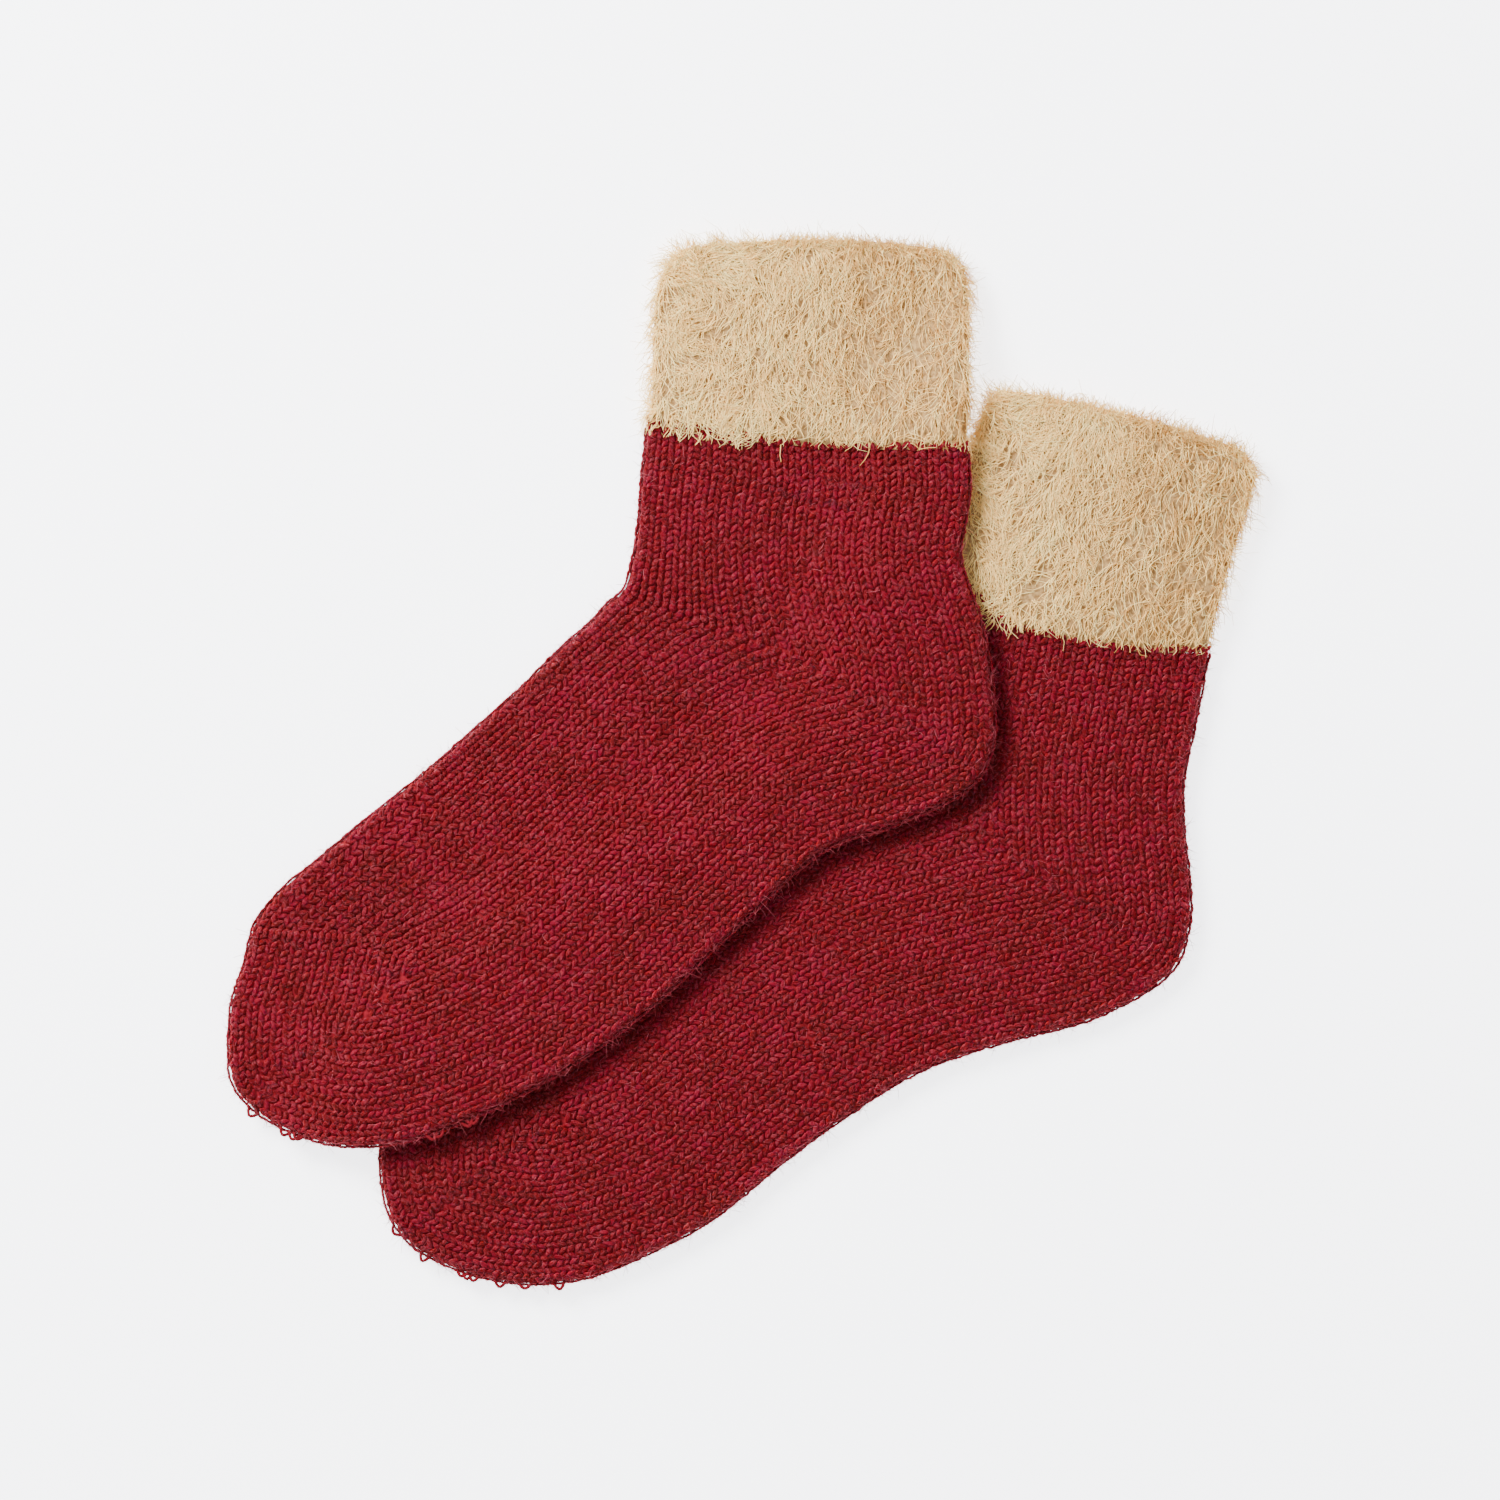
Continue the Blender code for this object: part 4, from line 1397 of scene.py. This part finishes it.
@dataclass
class KnitBody:
    """The red leg, heel, foot and toe of one sock.

    Attributes:
        side: Which of the two socks, as in the solids' names.
        knit: Its wales and courses.
        wool: Material of the yarn.
        ground: Material of the cloth under the stitches.
        halo: Material of the loose fibres.
        stitches: The tree that lays stitches.
        fibres: The tree that grows fibres.
        seed: Seed of what is uneven in it.
        sink: How far the ground lies under the solid's face.
        leg_length: Length of one leg of a stitch.
        leg_width: Width of the yarn across a leg.
        leg_thickness: Height of a leg.
        spread: How far a leg's middle is from its stitch's middle.
        slant: How far a leg leans, in radians.
        uneven: How far its lean is off, in radians.
        dip: How far a leg's ends lie under its middle.
        halo_fibres: How many loose fibres lie over the upper face.
        edge_fibres: How many more stand off its edges.
        slack_loops: How many loops of yarn stand out near the toe.
        covers: The pieces on its ground wall, once they are built.
    """

    side: str
    knit: Stockinette
    wool: bpy.types.Material
    ground: bpy.types.Material
    halo: bpy.types.Material
    stitches: bpy.types.NodeTree
    fibres: bpy.types.NodeTree
    seed: int
    sink: float = 0.8
    leg_length: float = 3.1
    leg_width: float = 1.6
    leg_thickness: float = 0.85
    spread: float = 0.84
    slant: float = 0.58
    uneven: float = 0.19
    dip: float = 0.25
    halo_fibres: int = 2700
    edge_fibres: int = 2500
    slack_loops: int = 8
    covers: list[bpy.types.Object] = field(default_factory=list)

    def build(self) -> bpy.types.Object:
        """Makes the ground wall, the stitches of both faces, the toe's seam and the loose fibres.

        Returns:
            The ground wall, with the rest on it.
        """
        form = self.knit.form
        node = f"{self.side}_sock_body"
        ground = ground_wall(f"{self.side}_knit_ground", node, form, BODY_WALL, self.sink, self.ground)
        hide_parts(node)
        upper, under = self.knit.body(Face.UPPER), self.knit.body(Face.UNDER)
        self.covers = [
            self.laid(f"{self.side}_stitches_upper", upper, Face.UPPER, SHOWN_YARN),
            self.laid(f"{self.side}_stitches_under", under, Face.UNDER, HIDDEN_YARN),
            self.edge_yarn(f"{self.side}_edge_stitches", Face.UPPER, SHOWN_YARN),
            self.edge_yarn(f"{self.side}_edge_stitches_under", Face.UNDER, HIDDEN_YARN),
            self.linked(f"{self.side}_toe_seam"),
            self.loose(f"{self.side}_loose_fibres", upper),
            self.edge_loops(f"{self.side}_edge_loops"),
        ]
        pieces_ride([ground, *self.covers])
        return ground

    def laid(self, name: str, stitches: Stitches, face: Face, roundness: tuple[int, int]) -> bpy.types.Object:
        """Lays stitches on one face as a piece.

        Args:
            name: The piece's name.
            stitches: Where they go.
            face: Which face they are on.
            roundness: Segments round a leg and rings along it.

        Returns:
            The piece.
        """
        rng = np.random.default_rng(self.seed)
        legs = stitches.legs(self.spread, self.slant, self.uneven, rng)
        return self.yarn(name, legs, face, LEG_PROUD, self.leg_length, roundness, rng)

    def linked(self, name: str) -> bpy.types.Object:
        """The loops that close the toe as a piece, a little proud of the stitches beside them."""
        rng = np.random.default_rng(self.seed + 2)
        loops = self.knit.seam_loops()
        outline = self.knit.form.outline(self.knit.form.last)
        loops = loops.kept(depth_inside(loops.plan, outline) > SEAM_INSIDE)
        return self.yarn(name, loops, Face.UPPER, SEAM_PROUD, SHORT_LEG, FINE_YARN, rng)

    def edge_yarn(self, name: str, face: Face, roundness: tuple[int, int]) -> bpy.types.Object:
        """The uneven yarn along the sock's outline as a piece.

        Args:
            name: The piece's name.
            face: Whether it lies just above the outline's middle or just under it.
            roundness: Segments round a length of yarn and rings along it.

        Returns:
            The piece.
        """
        rng = np.random.default_rng(self.seed + 4)
        found = self.knit.edge_family()
        lean = rng.normal(0.0, EDGE_LEAN, (len(found.plan), 1))
        aside = np.column_stack([found.heading[:, 1], -found.heading[:, 0]])
        found.heading = found.heading * np.cos(lean) + aside * np.sin(lean)
        return self.yarn(name, found, face, EDGE_PROUD, SHORT_LEG, roundness, rng)

    def yarn(
        self,
        name: str,
        legs: Stitches,
        face: Face,
        proud: float,
        length: float,
        roundness: tuple[int, int],
        rng: np.random.Generator,
    ) -> bpy.types.Object:
        """Short lengths of yarn on the cloth as a piece.

        Args:
            name: The piece's name.
            legs: Where each lies and which way it runs.
            face: Which face they are on.
            proud: How far their tops stand over that face.
            length: How long each is.
            roundness: Segments round each and rings along it.
            rng: Random numbers of the piece.

        Returns:
            The piece.
        """
        form = self.knit.form
        legs = legs.kept(depth_inside(legs.plan, form.outline(form.last)) > INSIDE)
        count = len(legs.plan)
        places, outward = form.lay(legs.plan, self.knit.radius, face, self.leg_thickness / 2.0 - proud)
        past = nearest_on(legs.plan, self.knit.change)[0]
        past = np.where(depth_inside(legs.plan, self.knit.cuff) > 0.0, -past, past)
        rise = CUFF_STEP * smooth_step((STEP_START - past) / STEP_LENGTH)
        places += outward * (rise[:, None] + rng.normal(0.0, HEIGHT_SPREAD, (count, 1)))
        places[:, 2] = np.maximum(places[:, 2], REST_SHARE * self.leg_thickness)
        along = within(np.column_stack([legs.heading, np.zeros(count)]), outward)
        fit = np.column_stack([legs.fit, np.ones(count)]) * rng.normal(1.0, SIZE_SPREAD, (count, 3))
        inputs = {
            "Leg Length": length * MM,
            "Leg Width": self.leg_width * MM,
            "Leg Thickness": self.leg_thickness * MM,
            "Dip": self.dip * MM,
            "Segments": roundness[0],
            "Rings": roundness[1],
            "Material": self.wool,
        }
        values = {"along": along, "facing": outward, "fit": fit, "tone": rng.random(count)}
        return grown(name, self.stitches, inputs, places, values)

    def loose(self, name: str, stitches: Stitches) -> bpy.types.Object:
        """Loose fibres that lie over the upper face and stand off its edges as a piece."""
        rng = np.random.default_rng(self.seed + 1)
        form, radius = self.knit.form, self.knit.radius
        outline = form.outline(form.last)
        shown = stitches.plan
        rim = shown[depth_inside(shown, outline) < RIM_BAND]
        over = shown[rng.integers(0, len(shown), self.halo_fibres)]
        plan = np.vstack([over, rim[rng.integers(0, len(rim), self.edge_fibres)]])
        plan = plan + rng.normal(0.0, FIBRE_SCATTER, plan.shape)
        plan = plan[depth_inside(plan, outline) > ROOT_INSIDE]
        count = len(plan)
        places, outward = form.lay(plan, radius, Face.UPPER, FIBRE_SINK)
        way = within(unit(rng.normal(0.0, 1.0, (count, 3))), outward)
        at_edge = (depth_inside(plan, outline) < EDGE_STAND)[:, None]
        length = rng.uniform(*FIBRE_LENGTH, (count, 1)) * np.where(at_edge, EDGE_LONGER, 1.0)
        lift = rng.uniform(*FIBRE_LIFT, (count, 1)) + EDGE_LIFT * at_edge
        start = (way * FIBRE_RUN + outward * lift) * length
        fall = rng.uniform(*FIBRE_FALL, (count, 1))
        sweep = (-outward * fall + rng.normal(0.0, FIBRE_SWAY, (count, 3))) * length
        values = fibre_values(places, start, sweep)
        # Wool fibres are 0.03 mm thick, drawn several times as coarse so that they show
        values["thick"] = rng.uniform(*FIBRE_THICK, count) * MM
        values["tone"] = rng.random(count)
        inputs = {"Curl": 1.2 * MM, "Taper": 0.6, "Points": 3, "Sides": 3, "Seed": self.seed}
        return grown(name, self.fibres, {**inputs, "Material": self.halo}, places, values)

    def edge_loops(self, name: str) -> bpy.types.Object:
        """Slack loops of yarn that stand out along the sole's edge near the toe as a piece."""
        rng = np.random.default_rng(self.seed + 3)
        form = self.knit.form
        rows = np.sort(rng.uniform(*(form.toe_row + end for end in LOOP_ROWS), self.slack_loops))
        edge = form.rows_at(rows)[:, 2:4]
        along = unit(form.rows_at(rows + TURN_STEP)[:, 2:4] - edge)
        inward = np.column_stack([along[:, 1], -along[:, 0]])
        places, outward = form.lay(edge + inward * LOOP_INSET, self.knit.radius, Face.UPPER, LOOP_SINK)
        width = rng.uniform(*LOOP_WIDTH, (self.slack_loops, 1))
        out = rng.uniform(*LOOP_REACH, (self.slack_loops, 1))
        level = np.column_stack([along, np.zeros(self.slack_loops)])
        values = fibre_values(places, outward * out + level * width, -outward * out)
        values["thick"] = np.full(self.slack_loops, self.leg_width * LOOP_SHARE) * MM
        values["tone"] = rng.random(self.slack_loops)
        inputs = {"Curl": 0.0, "Taper": 0.1, "Points": 6, "Sides": 5, "Seed": self.seed}
        return grown(name, self.fibres, {**inputs, "Material": self.ground}, places, values)


@dataclass
class BrushedCuff:
    """The cream cuff of one sock: a ground wall under long brushed hairs.

    Attributes:
        side: Which of the two socks.
        form: The sock.
        hair: Material of the hairs.
        ground: Material of the cloth under them.
        fibres: The tree that grows fibres.
        seed: Seed of what is uneven in it.
        wales: How many wales cross each face, which set the teeth where the yarn changes.
        sink: How far the ground lies under the solid's face.
        upper_hairs: How many hairs the upper face has.
        under_hairs: How many the underside has.
        halo_hairs: How many fine ones stand off the cuff's edges.
        lock: How many hairs make a lock.
        overhang: How far locks reach over the red between its wales.
        covers: The pieces on its ground wall, once they are built.
    """

    side: str
    form: SockForm
    hair: bpy.types.Material
    ground: bpy.types.Material
    fibres: bpy.types.NodeTree
    seed: int
    wales: int = 27
    sink: float = 1.2
    upper_hairs: int = 7800
    under_hairs: int = 2000
    halo_hairs: int = 2100
    lock: int = 4
    overhang: float = 4.2
    covers: list[bpy.types.Object] = field(default_factory=list)

    def build(self) -> bpy.types.Object:
        """Makes the ground wall and the hairs of both faces.

        Returns:
            The ground wall, with the hairs on it.
        """
        node = f"{self.side}_sock_cuff"
        ground = ground_wall(f"{self.side}_cuff_ground", node, self.form, CUFF_WALL, self.sink, self.ground)
        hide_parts(node)
        self.covers = [
            self.hairs(f"{self.side}_cuff_hair_upper", Face.UPPER, self.upper_hairs, 4),
            self.hairs(f"{self.side}_cuff_hair_under", Face.UNDER, self.under_hairs, 3),
            self.wisps(f"{self.side}_cuff_halo"),
        ]
        pieces_ride([ground, *self.covers])
        return ground

    def roots(
        self, rng: np.random.Generator, count: int
    ) -> tuple[np.ndarray, np.ndarray, np.ndarray, np.ndarray]:
        """Scatters the roots of locks round one face, closer together on the wales.

        Args:
            rng: The cuff's random numbers.
            count: How many.

        Returns:
            Plan points, the direction down the wale at each, its share of the way across, and its row.
        """
        radius = CUFF_RADIUS
        stations = rng.uniform(0.0, CHANGE_ROW, count)
        width = self.form.widths(stations)
        quarter = math.pi / 2.0 * radius
        wrapped = width + 2.0 * (quarter - radius)
        phase = rng.uniform(0.0, self.wales, count)
        middle = np.floor(phase) + 0.5
        gathered = 0.5 * smooth_step((phase / self.wales - 0.25) / 0.2)
        share = (phase + (middle - phase) * gathered) / self.wales
        reach = np.minimum(share, 1.0 - share) * wrapped
        inset = np.where(reach < quarter, radius * (1.0 - np.cos(reach / radius)), reach - quarter + radius)
        offset = np.where(share < 0.5, inset, width - inset)
        plan = self.form.across(stations, offset)
        after = stations + TURN_STEP
        later = self.form.across(after, offset * self.form.widths(after) / width)
        return plan, unit(later - plan), share, stations

    def reach_left(self, plan: np.ndarray, share: np.ndarray) -> np.ndarray:
        """How far each hair may reach before it is past the teeth where the yarn changes.

        Args:
            plan: Plan points of the roots.
            share: Each root's share of the way across.

        Returns:
            Distances in millimetres.
        """
        line = self.form.open_end(float(CHANGE_ROW))[0]
        between = 0.5 - 0.5 * np.cos(2.0 * math.pi * (share * self.wales - 0.5))
        return nearest_on(plan, line)[0] + self.overhang * between**1.5 - TOOTH_ROOM

    def hairs(self, name: str, face: Face, count: int, points: int) -> bpy.types.Object:
        """Brushed hairs of one face as a piece.

        Args:
            name: The piece's name.
            face: Which face they grow on.
            count: How many there are.
            points: How many points each one's path has.

        Returns:
            The piece.
        """
        rng = np.random.default_rng(self.seed + int(face is Face.UNDER))
        lock_plan, lock_down, lock_share, lock_row = self.roots(rng, count // self.lock)
        loose = smooth_step((LOOSE_SHARE - lock_share) / LOOSE_BLEND)
        combed = COMBED_TURN * loose * smooth_step((COMBED_ROWS - lock_row) / COMBED_BLEND)
        wander = (CALM_WANDER + LOOSE_WANDER * loose) * drift(lock_plan, WANDER_PITCH, self.seed)
        lock_turn = combed + wander + rng.normal(0.0, LOCK_TURN, len(lock_plan))
        turned = (lock_row < TURNED_ROWS) & (rng.random(len(lock_plan)) < TURNED_SHARE)
        lock_turn += np.where(turned, 180.0, 0.0)
        lock_length = rng.uniform(*LOCK_LENGTH, len(lock_plan))
        pick = rng.integers(0, len(lock_plan), count)
        plan = lock_plan[pick] + rng.normal(0.0, LOCK_SCATTER, (count, 2))
        keep = depth_inside(plan, self.form.outline(CHANGE_ROW)) > ROOT_INSIDE
        plan, pick = plan[keep], pick[keep]
        count = len(plan)
        places, outward = self.form.lay(plan, CUFF_RADIUS, face, self.sink + 0.1)
        turn = np.radians(lock_turn[pick] + rng.normal(0.0, HAIR_TURN, count))
        down = lock_down[pick]
        flow = np.column_stack(
            [
                down[:, 0] * np.cos(turn) - down[:, 1] * np.sin(turn),
                down[:, 0] * np.sin(turn) + down[:, 1] * np.cos(turn),
                np.zeros(count),
            ]
        )
        flow = within(flow, outward)
        aside = np.cross(outward, flow)
        long_one = rng.random(count) < LONG_SHARE
        longer = rng.uniform(*LONG_LENGTH, count)
        length = np.where(long_one, longer, lock_length[pick] * rng.uniform(*LENGTH_SPREAD, count))
        downward = (flow[:, 0:2] * down).sum(axis=1)
        room = self.reach_left(plan, lock_share[pick]) / np.maximum(downward, LEAST_FLOW)
        to_mouth = nearest_on(plan, self.form.open_end(0.0)[0])[0] + TOOTH_ROOM
        room = np.minimum(room, to_mouth / np.maximum(-downward, LEAST_FLOW))
        room = room + rng.normal(0.0, TOOTH_SPREAD, count)
        over = rng.random(count) < CROSSING_SHARE
        shorter = np.clip(length, LEAST_LENGTH, np.maximum(room, LEAST_LENGTH))
        length = np.where(over, length, shorter)[:, None]
        calm_and_shaded = smooth_step((lock_share[pick] - CALM_SHARE) / CALM_BLEND)
        thinned = rng.random(count) < THINNED_SHARE * calm_and_shaded
        kept = over | ((room > LEAST_ROOM) & ~thinned)
        climb = rng.uniform(*HAIR_CLIMB, (count, 1))
        tip = rng.uniform(*HAIR_TIP, (count, 1))
        bend = rng.normal(0.0, HAIR_BEND, (count, 1)) * length
        start = flow * length + outward * climb - aside * bend
        sweep = -outward * (climb - tip) + aside * bend
        values = fibre_values(places, start, sweep)
        # A brushed mohair-like fibre is 0.04 mm thick, drawn as a strand of several so that it shows
        thin = rng.uniform(*LONG_THICK, count)
        values["thick"] = np.where(long_one, thin, rng.uniform(*HAIR_THICK, count)) * MM
        tone = np.where(long_one, rng.uniform(*LONG_TONE, count), rng.uniform(*HAIR_TONE, count))
        # Painted shade: toward the calm side of the cuff, the side away from the light, the hair is painted
        # darker on the whole, with more contrast from hair to hair
        values["tone"] = 0.66 - 0.26 * calm_and_shaded + (tone - 0.5) * (0.65 + 0.5 * calm_and_shaded)
        return self.grow(name, {label: value[kept] for label, value in values.items()}, places[kept], points)

    def wisps(self, name: str) -> bpy.types.Object:
        """Fine hairs that stand off the cuff's edges and mouth as a piece."""
        rng = np.random.default_rng(self.seed + 3)
        plan = self.roots(rng, self.halo_hairs * WISP_DRAWS)[0]
        rim = self.form.outline(CHANGE_ROW)
        mouth, down_leg = self.form.open_end(0.0)
        from_side, from_mouth = nearest_on(plan, self.form.edge)[0], nearest_on(plan, mouth)[0]
        near = (depth_inside(plan, rim) > ROOT_INSIDE) & (np.minimum(from_side, from_mouth) < WISP_BAND)
        plan, by_mouth = plan[near][: self.halo_hairs], (from_mouth < from_side)[near][: self.halo_hairs]
        count = len(plan)
        places, outward = self.form.lay(plan, CUFF_RADIUS, Face.UPPER, self.sink)
        off = np.where(by_mouth[:, None], np.append(-down_leg, MOUTH_LIFT)[None, :], outward)
        way = unit(off + rng.normal(0.0, WISP_SPREAD, (count, 3)))
        fine = rng.random((count, 1)) < FINE_SHARE
        longer = rng.uniform(*FINE_LENGTH, (count, 1))
        length = np.where(fine, longer, rng.uniform(*WISP_LENGTH, (count, 1)))
        values = fibre_values(places, way * length, rng.normal(0.0, WISP_SWAY, (count, 3)) * length)
        values["thick"] = np.where(fine[:, 0], FINE_THICK, rng.uniform(*WISP_THICK, count)) * MM
        values["tone"] = rng.uniform(*WISP_TONE, count)
        return self.grow(name, values, places, 4)

    def grow(
        self, name: str, values: dict[str, np.ndarray], places: np.ndarray, points: int
    ) -> bpy.types.Object:
        """Grows hairs along their paths as a piece."""
        inputs = {"Curl": 2.2 * MM, "Taper": 0.6, "Points": points, "Sides": 3, "Seed": self.seed}
        return grown(name, self.fibres, {**inputs, "Material": self.hair}, places, values)


@dataclass
class Studio:
    """Pale floor, soft light and the camera straight above, as the photograph has them.

    Attributes:
        view_width: How much of the floor the frame takes in.
        middle_x: The frame's middle.
        middle_y: The frame's middle.
        camera_height: How high the camera is. A long lens, so the sides barely show.
        sensor: Width of the camera's sensor.
        floor_size: Side of the floor.
        floor_drop: How far the floor lies under the socks.
    """

    view_width: float = 420.0
    middle_x: float = 2.24
    middle_y: float = 3.22
    camera_height: float = 2400.0
    sensor: float = 36.0
    floor_size: float = 6000.0
    floor_drop: float = 0.15

    def build(self) -> None:
        """Makes the floor, the lights, the world and the camera."""
        self.make_floor()
        self.make_light("window_light", place=(-900.0, 900.0, 1100.0), size=700.0, power=84.0)
        world = bpy.data.worlds.new("pale_room")
        world.use_nodes = True
        background = world.node_tree.nodes["Background"]
        background.inputs["Color"].default_value = linear("#F3F5F9")
        background.inputs["Strength"].default_value = 1.2
        bpy.context.scene.world = world
        self.make_camera()

    def make_floor(self) -> None:
        """A plain pale sheet just under the socks."""
        half = self.floor_size / 2.0 * MM
        mesh = bpy.data.meshes.new("pale_floor")
        low = -self.floor_drop * MM
        corners = [(x * half, y * half, low) for x, y in ((-1, -1), (1, -1), (1, 1), (-1, 1))]
        mesh.from_pydata(corners, [], [(0, 1, 2, 3)])
        material, _, shader = plain_material("backlit_white_acrylic")
        # A faint glow from below keeps the floor near white, so shadows on it stay pale
        set_sockets(
            shader,
            {
                "Base Color": linear("#F6F7FA"),
                "Roughness": 0.9,
                "Specular IOR Level": 0.2,
                "Emission Color": linear("#FAFAFE"),
                "Emission Strength": 3.6,
            },
        )
        mesh.materials.append(material)
        new_object("pale_floor", mesh)

    def make_light(self, name: str, place: tuple[float, float, float], size: float, power: float) -> None:
        """A square soft light that faces the socks.

        Args:
            name: The light's name.
            place: Where it stands, in millimetres.
            size: Its side in millimetres.
            power: Its power in watts.
        """
        light = bpy.data.lights.new(name, "AREA")
        light.size = size * MM
        light.energy = power
        lamp = bpy.data.objects.new(name, light)
        lamp.location = Vector(place) * MM
        lamp.rotation_euler = (-lamp.location).to_track_quat("-Z", "Y").to_euler()
        bpy.context.scene.collection.objects.link(lamp)

    def make_camera(self) -> None:
        """A camera straight above the middle of the frame."""
        data = bpy.data.cameras.new("overhead_camera")
        data.sensor_width = self.sensor
        data.lens = self.sensor * self.camera_height / self.view_width
        data.clip_end = 20.0
        camera = bpy.data.objects.new("overhead_camera", data)
        camera.location = Vector((self.middle_x, self.middle_y, self.camera_height)) * MM
        bpy.context.scene.collection.objects.link(camera)
        bpy.context.scene.camera = camera


def main() -> None:
    """Builds both socks and the studio, and reports each piece."""
    logging.basicConfig(level=logging.INFO, format="%(message)s", stream=sys.stdout)
    rear = SockForm(REAR_SECTIONS, REAR_FOLDS, REAR_SEAM, heel_row=11.4, toe_row=24.4, seam_row=20.2)
    front = SockForm(FRONT_SECTIONS, FRONT_FOLDS, FRONT_SEAM, heel_row=11.4, toe_row=23.4, seam_row=19.2)
    front.below = [(BODY_RADIUS, rear.outline(rear.last)), (CUFF_RADIUS, rear.outline(CHANGE_ROW))]
    rear.cover = front.outline(front.last)
    wool = MarledWool().build()
    red_ground = GroundCloth("wool_ground_cloth", "#56070F", "#76101C").build()
    halo = SpunFibre("loose_wool_fibre", "#5E0E18", "#842630", "#AC4E58").build()
    hair = SpunFibre("brushed_mohair_fibre", "#C28C48", "#FFD17E", "#FFEDA2").build()
    # Painted shade: the cloth under the cream hair is coloured darker than the hairs, standing in for shade
    # between the locks
    shaded_cream_ground = GroundCloth("mohair_ground_shaded_cloth", "#80603A", "#B89460").build()
    stitches, fibres = stitch_tree(), fibre_tree()
    for index, (side, form) in enumerate((("front", front), ("rear", rear))):
        knit = Stockinette(form, BODY_RADIUS)
        seed = SEED + 10 * index
        body = KnitBody(side, knit, wool, red_ground, halo, stitches, fibres, seed)
        cuff = BrushedCuff(side, form, hair, shaded_cream_ground, fibres, seed + 5)
        round_leg = 2.0 * (form.widths(np.array([LEG_ROW]))[0] + (math.pi - 2.0) * BODY_RADIUS) * MM
        for tube in (body, cuff):
            tube.build()
    Studio().build()


if __name__ == "__main__":
    main()
